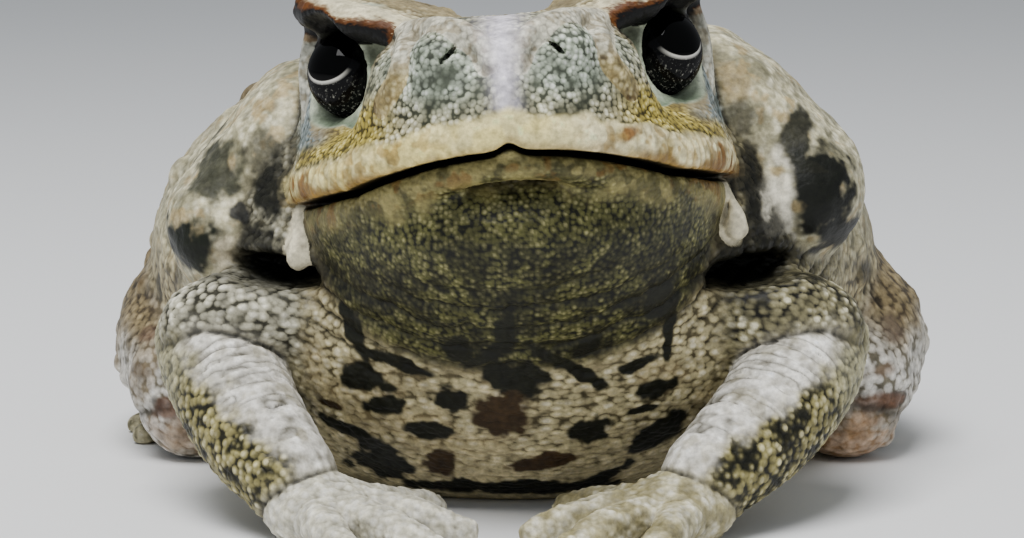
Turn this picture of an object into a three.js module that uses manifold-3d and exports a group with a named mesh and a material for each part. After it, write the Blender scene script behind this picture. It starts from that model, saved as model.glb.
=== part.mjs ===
// A cane toad, Rhinella marina, sitting square on to the viewer: a still, life-size model in millimetres.
// +X is the toad's left, +Y its back end and +Z up. The origin is on the floor, under the middle of its box.
// Fleshy masses are spheres of small triangles drawn onto a smooth blend of ellipsoids. Limbs, digits, crests
// and lips are turned profiles bent along curves. Neighbouring parts are cut from each other with a thin gap.
import * as THREE from "three";
import { mergeVertices } from "three/addons/utils/BufferGeometryUtils.js";
import Module from "manifold-3d";

const wasm = await Module();
wasm.setup();

// Driving dimensions, in millimetres and degrees.
const GAP = 0.35;
const MOUTH_OPEN = 0.5;
const HEAD_ROLL = 4;
const HEAD_PIVOT_Z = 50;
const EYE_RADIUS = 6.2;
const EYE_CENTRE = [21.8, -34, 64.4];
const JAW_HALF_WIDTH = 31;
const JAW_CORNER_Y = -29;
const JAW_LENGTH = 37;
const FAR = 130;
const FLOOR_SIZE = 400;
// The sizes below are laid out from a point between the arms; this moves them to the middle of the box.
const TO_MIDDLE = [-1.25, -3.2, 0];

const SIDES = { right: -1, left: 1 };
const across = (side, [x, y, z]) => [side * x, y, z];
const radians = THREE.MathUtils.degToRad;

// Fields: each is negative inside its shape and grows by about 1 for every millimetre outside it.
function ellipsoid(centre, radii, turn = [0, 0, 0]) {
  const angles = new THREE.Euler(...turn.map(radians));
  const toOwnAxes = new THREE.Matrix4().makeRotationFromEuler(angles).setPosition(...centre).invert();
  const p = new THREE.Vector3();
  return (x, y, z) => {
    p.set(x, y, z).applyMatrix4(toOwnAxes);
    const near = Math.hypot(p.x / radii[0], p.y / radii[1], p.z / radii[2]);
    const slope = Math.hypot(p.x / radii[0] ** 2, p.y / radii[1] ** 2, p.z / radii[2] ** 2);
    return slope < 1e-9 ? -Math.min(...radii) : (near * (near - 1)) / slope;
  };
}

const smoothMin = (a, b, k) => Math.min(a, b) - (Math.max(k - Math.abs(a - b), 0) ** 2 * 0.25) / k;
const blended = (k, ...fields) => (x, y, z) =>
  fields.map((f) => f(x, y, z)).reduce((a, b) => smoothMin(a, b, k));

// Solids, made from three.js geometries and joined or cut as manifolds.
function solidOf(geometry) {
  const bare = new THREE.BufferGeometry().setAttribute("position", geometry.getAttribute("position"));
  if (geometry.index) bare.setIndex(geometry.index);
  const merged = mergeVertices(bare, 1e-3);
  const mesh = new wasm.Mesh({
    numProp: 3,
    vertProperties: merged.attributes.position.array,
    triVerts: new Uint32Array(merged.index.array),
  });
  return new wasm.Manifold(mesh);
}

const joined = (solids) => solids.reduce((a, b) => a.add(b));
const largest = (solid) => solid.decompose().sort((a, b) => b.volume() - a.volume())[0];

function geometryOf(solid) {
  const mesh = solid.getMesh();
  return new THREE.BufferGeometry()
    .setAttribute("position", new THREE.BufferAttribute(new Float32Array(mesh.vertProperties), 3))
    .setIndex(new THREE.BufferAttribute(new Uint32Array(mesh.triVerts), 1));
}

// The largest closed surface of a solid, once corners that all but touch have been merged.
const settled = (solid) => largest(solidOf(geometryOf(largest(solid))));

// How far the surface of a field lies from a centre inside it, along one direction.
function reach(field, centre, direction, grow) {
  const value = (d) => field(...centre.map((c, i) => c + direction[i] * d)) - grow;
  const STEP = 2;
  let outer = FAR;
  while (outer > STEP && value(outer - STEP) > 0) outer -= STEP;
  let inner = outer - STEP;
  for (let i = 0; i < 16; i++) {
    const middle = (inner + outer) / 2;
    if (value(middle) > 0) outer = middle;
    else inner = middle;
  }
  return outer;
}

// A sphere of near-equal triangles, drawn out from its centre onto a field.
function moulded(field, centre, detail, grow = 0) {
  const sphere = new THREE.IcosahedronGeometry(1, detail);
  const at = sphere.attributes.position;
  for (let i = 0; i < at.count; i++) {
    const direction = new THREE.Vector3().fromBufferAttribute(at, i).normalize().toArray();
    const rounded = direction.map((c) => Math.round(c * 1e5) / 1e5);
    const d = reach(field, centre, rounded, grow);
    at.setXYZ(i, ...centre.map((c, axis) => c + rounded[axis] * d));
  }
  return solidOf(sphere);
}

const mass = (centre, radii, detail, grow = 0, turn) =>
  moulded(ellipsoid(centre, radii, turn), centre, detail, grow);

// A round-ended limb: a turned profile, bent along a smooth curve. Each station is [x, y, z, radius].
// caps gives the rings of its domed ends, as shares of the way out to the tip.
function limb(stations, { sides = 8, rings = 8, flat = 1, grow = 0, caps = [0.85, 0.4] } = {}) {
  const through = stations.map(([x, y, z]) => new THREE.Vector3(x, y, z));
  const curve = new THREE.CatmullRomCurve3(through, false, "centripetal");
  const spans = stations.length - 1;
  const radiusAt = (t) => {
    const i = Math.min(Math.floor(t * spans), spans - 1);
    const share = t * spans - i;
    const eased = share * share * (3 - 2 * share);
    return stations[i][3] * (1 - eased) + stations[i + 1][3] * eased + grow;
  };
  const [first, last] = [radiusAt(0), radiusAt(1)];
  const domed = (radius, share) => radius * Math.sqrt(1 - share ** 2);
  const profile = [
    new THREE.Vector2(0, -first),
    ...caps.map((share) => new THREE.Vector2(domed(first, share), -first * share)),
    ...Array.from({ length: rings + 1 }, (_, i) => new THREE.Vector2(radiusAt(i / rings), i / rings)),
    ...caps.toReversed().map((share) => new THREE.Vector2(domed(last, share), 1 + last * share)),
    new THREE.Vector2(0, 1 + last),
  ];
  const turned = new THREE.LatheGeometry(profile, sides);
  const at = turned.attributes.position;
  const course = curve.getPoint(1).sub(curve.getPoint(0)).normalize();
  const up = Math.abs(course.z) > 0.8 ? new THREE.Vector3(0, 1, 0) : new THREE.Vector3(0, 0, 1);
  for (let i = 0; i < at.count; i++) {
    const along = at.getY(i);
    const t = THREE.MathUtils.clamp(along, 0, 1);
    const tangent = curve.getTangent(t);
    const side = new THREE.Vector3().crossVectors(tangent, up).normalize();
    const rise = new THREE.Vector3().crossVectors(side, tangent).normalize();
    const beyond = along < 0 ? along : Math.max(along - 1, 0);
    const point = curve.getPoint(t).addScaledVector(tangent, beyond);
    point.addScaledVector(side, at.getX(i)).addScaledVector(rise, at.getZ(i) * flat);
    at.setXYZ(i, point.x, point.y, point.z);
  }
  return solidOf(turned);
}

// Half of space above a height, as a thick slab.
function slabAbove(height) {
  const slab = new THREE.BoxGeometry(FLOOR_SIZE, FLOOR_SIZE, FLOOR_SIZE);
  slab.translate(0, 0, height + FLOOR_SIZE / 2);
  return solidOf(slab);
}

// A small repeatable random number source, for the placing of warts.
function randomFrom(seed) {
  let state = seed;
  return () => {
    state = (state * 1664525 + 1013904223) % 4294967296;
    return state / 4294967296;
  };
}

// Low domes set into a field's surface. allowed says where on the surface a wart may sit.
function warts(field, centre, { seed, count, low, high, spacing, allowed, spread = [1, 1, 1] }) {
  const random = randomFrom(seed);
  const placed = [];
  const domes = [];
  for (let tries = 0; tries < count * 40 && domes.length < count; tries++) {
    const direction = new THREE.Vector3(random() * 2 - 1, random() * 2 - 1, random() * 2 - 1);
    if (direction.length() > 1 || direction.length() < 0.1) continue;
    direction.multiply(new THREE.Vector3(...spread)).normalize();
    const d = reach(field, centre, direction.toArray(), 0);
    const foot = direction.clone().multiplyScalar(d).add(new THREE.Vector3(...centre));
    if (!allowed(foot) || placed.some((p) => p.distanceTo(foot) < spacing)) continue;
    placed.push(foot);
    const radius = low + (high - low) * random() ** 2;
    const dome = new THREE.SphereGeometry(radius, 6, 4);
    const upright = new THREE.Vector3(0, 1, 0);
    dome.applyQuaternion(new THREE.Quaternion().setFromUnitVectors(upright, direction));
    const SUNK = 0.45;
    const core = foot.clone().addScaledVector(direction, -radius * SUNK);
    dome.translate(core.x, core.y, core.z);
    domes.push(solidOf(dome));
  }
  return domes;
}

// The plan of the jaw: a half ellipse, given by an angle from the toad's right corner to its left.
const jawPoint = (angle, inset = 0) => [
  -(JAW_HALF_WIDTH - inset) * Math.cos(radians(angle)),
  JAW_CORNER_Y - (JAW_LENGTH - inset) * Math.sin(radians(angle)),
];
// The mouth line falls from the notch at the snout to the corners, because the head is held up.
const MOUTH_PROFILE = [
  [-80, 59], [-66, 55.6], [-61, 52.4], [-54, 49.6], [-42, 47.2], [-29, 45.4], [-12, 43], [20, 42],
];
function mouthHeight(y) {
  const next = Math.max(1, MOUTH_PROFILE.findIndex(([at]) => at >= y));
  const [[y0, z0], [y1, z1]] = [MOUTH_PROFILE[next - 1], MOUTH_PROFILE[next]];
  return z0 + ((z1 - z0) * (y - y0)) / (y1 - y0);
}

// Everything above or below the mouth, as a block whose face follows the mouth line.
function mouthBlock(above) {
  const edge = above ? FAR : -FAR;
  const shift = (above ? 1 : -1) * MOUTH_OPEN * 0.5;
  const outline = MOUTH_PROFILE.map(([y, z]) => new THREE.Vector2(y, z + shift));
  outline.push(new THREE.Vector2(MOUTH_PROFILE.at(-1)[0], edge));
  outline.push(new THREE.Vector2(MOUTH_PROFILE[0][0], edge));
  const pull = { depth: FLOOR_SIZE, bevelEnabled: false };
  const block = new THREE.ExtrudeGeometry(new THREE.Shape(outline), pull);
  block.translate(0, 0, -FLOOR_SIZE / 2);
  block.applyMatrix4(new THREE.Matrix4().set(0, 0, 1, 0, 1, 0, 0, 0, 0, 1, 0, 0, 0, 0, 0, 1));
  return solidOf(block);
}

// The head is built level from side to side and then rolled, because the toad holds it a little to one side.
const rolled = (solid) =>
  solid.translate([0, 0, -HEAD_PIVOT_Z]).rotate([0, -HEAD_ROLL, 0]).translate([0, 0, HEAD_PIVOT_Z]);

const eyes = Object.fromEntries(
  Object.entries(SIDES).map(([name, side]) => [
    name,
    (grow) => {
      const ball = new THREE.SphereGeometry(EYE_RADIUS + grow, 14, 9);
      ball.translate(...across(side, EYE_CENTRE));
      return rolled(solidOf(ball));
    },
  ]),
);

const headField = blended(
  8,
  ellipsoid([0, -27, 50], [31, 37, 14.5]),
  ellipsoid([0, -33, 59], [26, 27, 14]),
  ellipsoid([-21, -19, 62], [8, 9, 11]),
  ellipsoid([21, -19, 62], [8, 9, 11]),
  ellipsoid([0, -51.5, 61.5], [16.5, 14.5, 10]),
);

// Half of the rim round an eye, between two angles in an upright plane. out shifts it away from the head.
function lid(side, from, to, out) {
  const LID_THICK = 1.1;
  const STEPS = 6;
  const [ex, ey, ez] = EYE_CENTRE;
  const stations = [];
  for (let i = 0; i <= STEPS; i++) {
    const angle = radians(from + ((to - from) * i) / STEPS);
    const y = ey - Math.cos(angle) * EYE_RADIUS;
    stations.push([side * (ex + out), y, ez + Math.sin(angle) * EYE_RADIUS, LID_THICK]);
  }
  return limb(stations, { sides: 4, rings: STEPS, caps: [0.6] });
}

// Crests of the head: over the eye, down in front of it, and from it over the nostril to the snout's tip.
const BROW = [
  [12.8, -44, 69.4, 1.9],
  [18, -42, 71.4, 2.2],
  [24, -37, 73, 2.3],
  [27.2, -29, 73.6, 2.2],
  [25.6, -19, 71, 2],
];
const PREOCULAR = [[13, -45, 69, 1.8], [15.6, -46, 64, 1.9], [18.6, -44, 59.4, 1.6]];
const CANTHUS = [[13, -45, 69, 1.8], [9.6, -52, 70.2, 1.8], [5.6, -59, 69.2, 1.6], [3.8, -63, 66, 1.4]];
const POSTORBITAL = [[26.4, -23.5, 71, 1.8], [28, -24.5, 65, 1.8], [28.2, -25.5, 59, 1.5]];

const ridge = (side, stations, options) =>
  limb(stations.map(([x, y, z, r]) => [side * x, y, z, r]), { caps: [0.6], ...options });

// The ridges and lids of one side of the head, the roof of its socket and the swelling round its nostril.
function headRidges(side) {
  return [
    ridge(side, BROW, { sides: 6, rings: 6 }),
    ridge(side, PREOCULAR, { sides: 5, rings: 4 }),
    ridge(side, CANTHUS, { sides: 5, rings: 6 }),
    mass([side * 17.5, -31, 71.4], [11, 13.5, 3.4], 2, 0, [0, side * -8, 0]),
    mass([side * 7.8, -59, 67.2], [4.4, 4.6, 4.2], 1),
    lid(side, 25, 155, 1.6),
    lid(side, -25, -155, 2.2),
  ];
}

// The crest behind the eye and the eardrum below it: these lie against the neck.
function neckRidges(side, grow) {
  return [
    ridge(side, POSTORBITAL, { sides: 5, rings: 4, grow }),
    mass([side * 28.8, -18.5, 56], [2, 3.6, 4.2], 1, grow),
  ];
}

// A lip: a tube that follows the jaw's plan, a little above or below the mouth line.
function lip(offset, radius, inset, from, to) {
  const stations = [];
  const STEPS = 12;
  for (let i = 0; i <= STEPS; i++) {
    const [x, y] = jawPoint(from + ((to - from) * i) / STEPS, inset);
    stations.push([x, y, mouthHeight(y) + offset, radius]);
  }
  return limb(stations, { sides: 6, rings: 16 });
}

const HEAD_CENTRE = [0, -32, 57];
function head(grow) {
  const core = moulded(headField, HEAD_CENTRE, 6, grow);
  const neck = Object.values(SIDES).flatMap((side) => neckRidges(side, grow));
  const plain = joined([core, lip(3, 3.4 + grow, 2.6, 0, 180), ...neck]);
  if (grow) return rolled(plain);
  const ridges = Object.values(SIDES).flatMap(headRidges);
  const nostrils = Object.values(SIDES).map((side) =>
    limb([[side * 9.4, -65.5, 70.2, 0.9], [side * 7.6, -61, 66.6, 0.9]], { sides: 5, rings: 1, caps: [0.6] }),
  );
  const whole = joined([plain, ...ridges]);
  return rolled(whole.subtract(joined(nostrils)).intersect(mouthBlock(true)));
}

const jawField = blended(
  6,
  ellipsoid([0, -27, 43], [29.5, 35.5, 15]),
  ellipsoid([0, -31, 36], [26, 25, 15]),
);

// The rictal gland: a pale drop that hangs under the corner of the mouth.
const RICTAL_GLAND = [[29.2, -30, 43.5, 1.1], [31, -30.6, 40.6, 1.3], [31.2, -30.6, 36.6, 2.3]];

function jaw(grow) {
  const core = moulded(jawField, [0, -28, 40], 5, grow);
  const glands = Object.values(SIDES).map((side) => ridge(side, RICTAL_GLAND, { sides: 6, rings: 3, grow }));
  const whole = joined([core, lip(-2, 2 + grow, 2.4, 4, 176), ...glands]);
  return rolled(grow ? whole : whole.intersect(mouthBlock(false)));
}

const parotoid = (side) => (grow) => {
  const field = blended(
    7,
    ellipsoid(across(side, [31.5, -3, 54.5]), [13.5, 21, 9.5], [-6, side * 40, side * 14]),
    ellipsoid(across(side, [41.2, -8, 41.8]), [10.5, 17, 11], [0, side * 16, side * 8]),
    ellipsoid(across(side, [40, -15.5, 39.5]), [6.8, 8.5, 8.5], [0, side * 6, 0]),
  );
  return rolled(moulded(field, across(side, [37.5, -8, 46]), 4, grow));
};

const upperArm = (side) => (grow) => {
  const stations = [[side * 26, -22, 28, 9], [side * 35, -31, 28.5, 8], [side * 43.5, -30, 25.5, 7.2]];
  return limb(stations, { sides: 9, rings: 4, grow });
};

const ARM_REACH = { right: 2, left: -1.5 };
const forearm = (name, side) => (grow) =>
  limb(
    [
      [side * 44.6, -27, 23.6, 7],
      [side * 41, -34, 19.5, 8.3],
      [side * (35.4 + ARM_REACH[name] / 2), -43, 13.6, 7.9],
      [side * (29 + ARM_REACH[name]), -50.5, 8.6, 6.6],
    ],
    { sides: 9, rings: 6, grow },
  );

// Each digit is [knuckle, middle, tip] with its radius at each.
const FINGERS = [
  { root: [22, -51, 4.8], bend: [15.5, -45.5, 3.4], tip: [9.5, -41.5, 1.7], thick: 2.6 },
  { root: [20, -55, 5], bend: [11.5, -57, 4], tip: [4.8, -58.5, 1.7], thick: 2.7 },
  { root: [21.5, -58, 5], bend: [14.5, -65, 4.2], tip: [8.4, -70, 1.7], thick: 2.7 },
  { root: [25.5, -58.5, 4.8], bend: [22.5, -67, 4], tip: [19.5, -73, 1.7], thick: 2.6 },
];

const hand = (name, side) => (grow) => {
  const shift = ARM_REACH[name];
  const place = ([x, y, z]) => [side * (x + shift), y, z];
  const palm = mass(place([24.5, -54, 4.4]), [7.6, 7.2, 5.2], 2, grow, [0, 0, side * 20]);
  const fingers = FINGERS.map(({ root, bend, tip, thick }) => {
    const stations = [[...place(root), thick + 0.4], [...place(bend), thick], [...place(tip), thick * 0.86]];
    return limb(stations, { sides: 6, rings: 4, flat: 0.85, grow, caps: [0.6] });
  });
  return joined([palm, ...fingers]);
};

const trunkField = blended(
  16,
  ellipsoid([0, 20, 30], [57, 52, 37]),
  ellipsoid([0, -16, 28], [42, 30, 29]),
  ellipsoid([0, -8, 44], [35, 28, 21]),
  ellipsoid([0, 56, 27], [33, 25, 24]),
);
const TRUNK_CENTRE = [0, 16, 30];

function trunk(grow) {
  const core = moulded(trunkField, TRUNK_CENTRE, 6, grow);
  if (grow) return core;
  const back = warts(trunkField, TRUNK_CENTRE, {
    seed: 7, count: 20, low: 2.4, high: 3.8, spacing: 13, spread: [1, 1, 0.75],
    allowed: (p) => p.z > 24 && p.y > 2 && p.y < 74,
  });
  return joined([core, ...back]);
}

// One haunch is held a little closer in than the other.
const LEG_SPREAD = { right: -2.2, left: 0.3 };
const thigh = (name, side) => (grow) => {
  const spread = LEG_SPREAD[name];
  return limb(
    [
      [side * 24, 60, 21, 14],
      [side * 42, 42, 20.5, 14.5],
      [side * (52.6 + spread), 20, 17.5, 12.4],
      [side * (52.4 + spread), 6, 13, 9.6],
    ],
    { sides: 9, rings: 5, grow },
  );
};

const shank = (name, side) => (grow) => {
  const spread = LEG_SPREAD[name];
  return limb(
    [
      [side * (51.5 + spread), 5.5, 8.6, 8.6],
      [side * (53.4 + spread), 22, 9.4, 8.4],
      [side * 47, 44, 10.2, 7.2],
      [side * 36, 59, 8, 5.2],
    ],
    { sides: 8, rings: 6, grow },
  );
};

const TOES = [
  { tip: [39.5, 27, 1], thick: 1.7 },
  { tip: [43, 20, 1], thick: 1.8 },
  { tip: [49, 15.5, 1.1], thick: 1.9 },
  { tip: [58.5, 16.5, 1.2], thick: 2 },
  { tip: [60.5, 26, 1.1], thick: 1.9 },
];
const TOE_ROOT = [44.5, 44, 2.6];

const foot = (side) => (grow) => {
  const place = (p) => across(side, p);
  const tarsus = limb(
    [
      [...place([35.5, 63.5, 4.2]), 3.8],
      [...place([40.5, 54, 3.4]), 3.8],
      [...place(TOE_ROOT), 3.9],
    ],
    { sides: 6, rings: 3, flat: 0.75, grow, caps: [0.6] },
  );
  const toes = TOES.map(({ tip, thick }) => {
    const bend = TOE_ROOT.map((c, i) => c * 0.45 + tip[i] * 0.55);
    return limb(
      [
        [...place(TOE_ROOT), thick + 0.8],
        [...place(bend), thick + 0.2],
        [...place(tip), thick * 0.85],
      ],
      { sides: 5, rings: 3, flat: 0.85, grow, caps: [0.6] },
    );
  });
  const web = mass(place([48.5, 32, 0.9]), [8, 9, 1.3], 2, grow);
  return joined([tarsus, web, ...toes]);
};

// Parts in the order in which they are cut: each gives way to those before it.
const builders = {};
for (const [name, side] of Object.entries(SIDES)) {
  builders[`eye_${name}`] = eyes[name];
  builders[`parotoid_${name}`] = parotoid(side);
}
builders.head = head;
builders.lower_jaw = jaw;
for (const [name, side] of Object.entries(SIDES)) {
  builders[`hand_${name}`] = hand(name, side);
  builders[`forearm_${name}`] = forearm(name, side);
  builders[`upper_arm_${name}`] = upperArm(side);
  builders[`foot_${name}`] = foot(side);
  builders[`shank_${name}`] = shank(name, side);
  builders[`thigh_${name}`] = thigh(name, side);
}
builders.trunk = trunk;

const COLOURS = {
  eye: 0x14110d,
  head: 0xc9bf98,
  lower_jaw: 0x8f8a63,
  parotoid: 0xbdb595,
  trunk: 0x9a9272,
  limb: 0xb4ae93,
};
function skin(name) {
  const key = Object.keys(COLOURS).find((k) => name.startsWith(k)) ?? "limb";
  const wet = key === "eye";
  const roughness = wet ? 0.08 : 0.62;
  return new THREE.MeshStandardMaterial({ name: key, color: COLOURS[key], roughness, metalness: 0 });
}

const toad = new THREE.Group();
toad.name = "cane_toad";
const floor = slabAbove(0);
const taken = [];
for (const [name, build] of Object.entries(builders)) {
  let solid = build(0);
  const box = solid.boundingBox();
  for (const other of taken) {
    const before = other.box.max.some((high, i) => high < box.min[i]);
    const beyond = other.box.min.some((low, i) => low > box.max[i]);
    const acrossMouth = name === "lower_jaw" && other.name === "head";
    if (!before && !beyond && !acrossMouth) solid = solid.subtract(other.grown);
  }
  solid = settled(solid.intersect(floor));
  const grown = build(GAP);
  taken.push({ name, grown, box: grown.boundingBox() });
  const mesh = new THREE.Mesh(geometryOf(solid.translate(TO_MIDDLE)), skin(name));
  mesh.name = name;
  toad.add(mesh);
}

export default toad;
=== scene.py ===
# %% [markdown]
# # A cane toad, sitting square on
#
# The real animal is a lump of soft flesh in one loose, warty skin. Its bones show only as the sharp crests
# round its eyes. That calls for one continuous skin, not a set of parts: each mass of flesh is a smooth
# field, the fields melt into each other where flesh meets flesh, and one surface is drawn round the lot.
# Granules, warts and wrinkles are then raised on that surface, each patterned from its real size in
# millimetres.

# %% Load the frame and keep the size of the solids
import math
from collections import namedtuple

import bpy
import numpy as np
import openvdb
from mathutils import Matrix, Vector


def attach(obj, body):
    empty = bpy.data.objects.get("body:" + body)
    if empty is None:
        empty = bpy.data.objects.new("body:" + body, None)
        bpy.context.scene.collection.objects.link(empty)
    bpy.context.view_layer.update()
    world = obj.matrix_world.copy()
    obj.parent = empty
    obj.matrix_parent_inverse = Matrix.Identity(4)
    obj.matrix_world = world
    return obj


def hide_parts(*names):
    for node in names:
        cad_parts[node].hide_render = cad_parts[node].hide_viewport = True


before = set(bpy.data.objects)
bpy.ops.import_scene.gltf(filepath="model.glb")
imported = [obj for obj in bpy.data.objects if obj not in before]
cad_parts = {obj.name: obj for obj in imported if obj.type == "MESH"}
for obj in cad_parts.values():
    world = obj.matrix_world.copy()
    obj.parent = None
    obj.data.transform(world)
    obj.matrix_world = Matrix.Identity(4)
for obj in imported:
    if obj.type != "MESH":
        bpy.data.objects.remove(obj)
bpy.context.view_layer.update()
MM = 0.001

# %% [markdown]
# The sizes of the toad, in millimetres. They are those of the solids, except that the crests, the mouth line,
# the nostrils and the rictal glands follow the photograph a little more closely. Everything is laid out from
# a point between the arms, and TO_MIDDLE then moves it to the middle of the toad's own box. The head is built
# level and rolled a little to one side, as the toad holds it.

# %% Driving dimensions
TO_MIDDLE = np.array([-1.25, -3.2, 0.0])
HEAD_ROLL = math.radians(4)
HEAD_PIVOT_Z = 50.0
EYE_RADIUS = 6.2
EYE_CENTRE = np.array([21.8, -34.0, 64.4])
JAW_HALF_WIDTH = 31.0
JAW_CORNER_Y = -29.0
JAW_LENGTH = 37.0
MOUTH_PROFILE = [
    (-80, 57.4), (-66, 54.8), (-61, 52.4), (-54, 49.6), (-42, 47.2), (-29, 45.4), (-12, 43), (20, 42),
]
NOTCH_HEIGHT, NOTCH_WIDTH = 1.1, 1.5
ARM_REACH = {-1: 2.0, 1: -1.5}
LEG_SPREAD = {-1: -2.2, 1: 0.3}
SIDES = (-1, 1)

# %% [markdown]
# Fields first. A field gives, for any point, roughly how many millimetres it lies outside a shape. A grid of
# points holds the skin's field, and every shape works only on its own window of that grid.

# %% The grid
CELL = 0.5
LOW = np.array([-68.0, -78.0, -2.5])
HIGH = np.array([68.0, 85.0, 82.0])
COUNT = np.ceil((HIGH - LOW) / CELL).astype(int)
AXES = [(LOW[i] + CELL * np.arange(COUNT[i])).astype(np.float32) for i in range(3)]
FAR = 9.0
Shape = namedtuple("Shape", "field low high")


def window(low, high):
    """The part of the grid between two corners: its slices, and its points as open arrays."""
    first = np.clip(((np.array(low) - LOW) / CELL).astype(int), 0, COUNT)
    last = np.clip(((np.array(high) - LOW) / CELL).astype(int) + 2, 0, COUNT)
    cut = tuple(slice(a, b) for a, b in zip(first, last))
    x, y, z = (axis[part] for axis, part in zip(AXES, cut))
    return cut, (x[:, None, None], y[None, :, None], z[None, None, :])


def smooth_min(a, b, k):
    """The union of two fields, with a fillet of about k millimetres."""
    return np.minimum(a, b) - np.maximum(k - np.abs(a - b), 0) ** 2 * (0.25 / k)


def smooth_max(a, b, k):
    return -smooth_min(-a, -b, k)


def rotation(turn):
    """Turns in degrees about X, Y and Z, in the order that the solids use."""
    (sx, sy, sz), (cx, cy, cz) = np.sin(np.radians(turn)), np.cos(np.radians(turn))
    about_x = np.array([[1, 0, 0], [0, cx, -sx], [0, sx, cx]])
    about_y = np.array([[cy, 0, sy], [0, 1, 0], [-sy, 0, cy]])
    about_z = np.array([[cz, -sz, 0], [sz, cz, 0], [0, 0, 1]])
    return about_x @ about_y @ about_z


def ball(centre, radii, turn=(0, 0, 0)):
    """An ellipsoid."""
    centre, radii, matrix = np.array(centre, float), np.array(radii, float), rotation(turn)

    def field(p):
        q = [p[i] - centre[i] for i in range(3)]
        if any(turn):
            q = [sum(matrix[j][i] * q[j] for j in range(3)) for i in range(3)]
        near = np.sqrt(sum((q[i] / radii[i]) ** 2 for i in range(3)))
        slope = np.sqrt(sum((q[i] / radii[i] ** 2) ** 2 for i in range(3))) + 1e-6
        return near * (near - 1) / slope

    reach = radii.max() if any(turn) else radii
    return Shape(field, centre - reach, centre + reach)


def eased_path(stations, steps=5):
    """A smooth path through stations of [x, y, z, radius]."""
    s = np.array(stations, float)
    s = np.vstack([2 * s[0] - s[1], s, 2 * s[-1] - s[-2]])
    path = []
    for a, b, c, d in zip(s[:-3], s[1:-2], s[2:-1], s[3:]):
        for t in np.arange(steps) / steps:
            path.append(0.5 * (2 * b + (c - a) * t + (2 * a - 5 * b + 4 * c - d) * t**2
                               + (3 * b - a - 3 * c + d) * t**3))
    return np.array(path + [s[-2]])


def along_path(p, path):
    """How far points lie outside a tube, and how far along it they are, from 0 to 1."""
    best, share = None, None
    spans = len(path) - 1
    for n, (a, b) in enumerate(zip(path[:-1], path[1:])):
        way = b[:3] - a[:3]
        t = np.clip(sum((p[i] - a[i]) * way[i] for i in range(3)) / (way @ way), 0, 1)
        gap = np.sqrt(sum((p[i] - a[i] - t * way[i]) ** 2 for i in range(3))) - (a[3] + (b[3] - a[3]) * t)
        if best is None:
            best, share = gap, t / spans
        else:
            share = np.where(gap < best, (n + t) / spans, share)
            best = np.minimum(best, gap)
    return best, share


def tube(stations, steps=5):
    """A round-ended limb, ridge or lip."""
    path = eased_path(stations, steps)
    low, high = path[:, :3].min(0) - path[:, 3].max(), path[:, :3].max(0) + path[:, 3].max()
    return Shape(lambda p: along_path(p, path)[0], low, high)


def blended(k, *shapes):
    """Several shapes melted into one."""
    def field(p):
        whole = shapes[0].field(p)
        for shape in shapes[1:]:
            whole = smooth_min(whole, shape.field(p), k)
        return whole

    return Shape(field, np.min([s.low for s in shapes], axis=0), np.max([s.high for s in shapes], axis=0))


def level(p):
    """Points of the rolled head, seen level."""
    x, z = p[0], p[2] - HEAD_PIVOT_Z
    c, s = math.cos(HEAD_ROLL), math.sin(HEAD_ROLL)
    return x * c + z * s, p[1], z * c - x * s + HEAD_PIVOT_Z


def rolled(shape):
    return Shape(lambda p: shape.field(level(p)), shape.low - 4, shape.high + 4)


def on_side(side, stations):
    return [[side * s[0], *s[1:]] for s in stations]


print("grid of", COUNT, "points", CELL, "mm apart")

# %% [markdown]
# ## The masses of flesh
#
# The trunk is a broad sack that sags to the floor. The parotoid glands are the two great swellings on the
# neck. The arms are bowed out with the hands turned in, and the folded hind legs are pressed along the
# flanks.

# %% Trunk, glands and limbs
TRUNK = blended(
    16,
    ball([0, 20, 30], [57, 52, 37]),
    ball([0, -16, 28], [42, 30, 29]),
    ball([0, -8, 44], [35, 28, 21]),
    ball([0, 56, 27], [33, 25, 24]),
)


def parotoid(side):
    return rolled(blended(
        7,
        ball([side * 31.5, -3, 54.5], [13.5, 21, 9.5], (-6, side * 40, side * 14)),
        ball([side * 41.2, -8, 41.8], [10.5, 17, 11], (0, side * 16, side * 8)),
        ball([side * 40, -15.5, 39.5], [6.8, 8.5, 8.5], (0, side * 6, 0)),
    ))


def upper_arm(side):
    return tube(on_side(side, [[26, -22, 28, 9], [35, -31, 28.5, 8], [43.5, -30, 25.5, 7.2]]))


def forearm_stations(side):
    reach = ARM_REACH[side]
    elbow = [[44.6, -27, 23.6, 7], [41, -34, 19.5, 8.3]]
    wrist = [[35.4 + reach / 2, -43, 13.6, 7.9], [29 + reach, -50.5, 8.6, 6.6]]
    return on_side(side, elbow + wrist)


def forearm(side):
    return tube(forearm_stations(side))


FINGERS = [
    [[22, -51, 4.8, 3], [15.5, -45.5, 3.4, 2.6], [9.5, -41.5, 1.9, 2.2]],
    [[20, -55, 5, 3.1], [11.5, -57, 4, 2.7], [4.8, -58.5, 1.9, 2.3]],
    [[21.5, -58, 5, 3.1], [14.5, -65, 4.2, 2.7], [8.4, -70, 1.9, 2.3]],
    [[25.5, -58.5, 4.8, 3], [22.5, -67, 4, 2.6], [19.5, -73, 1.9, 2.2]],
]
TOE_ROOT = [44.5, 44, 2.6]
TOES = [
    [39.5, 27, 1, 1.7], [43, 20, 1, 1.8], [49, 15.5, 1.1, 1.9], [58.5, 16.5, 1.2, 2], [60.5, 26, 1.1, 1.9],
]


def hand(side):
    reach = ARM_REACH[side]
    moved = [[[side * (x + reach), y, z, r] for x, y, z, r in digit] for digit in FINGERS]
    palm = ball([side * (24.5 + reach), -54, 4.4], [7.6, 7.2, 5.2], (0, 0, side * 20))
    return blended(1.6, palm, *[tube(digit, 3) for digit in moved])


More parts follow.
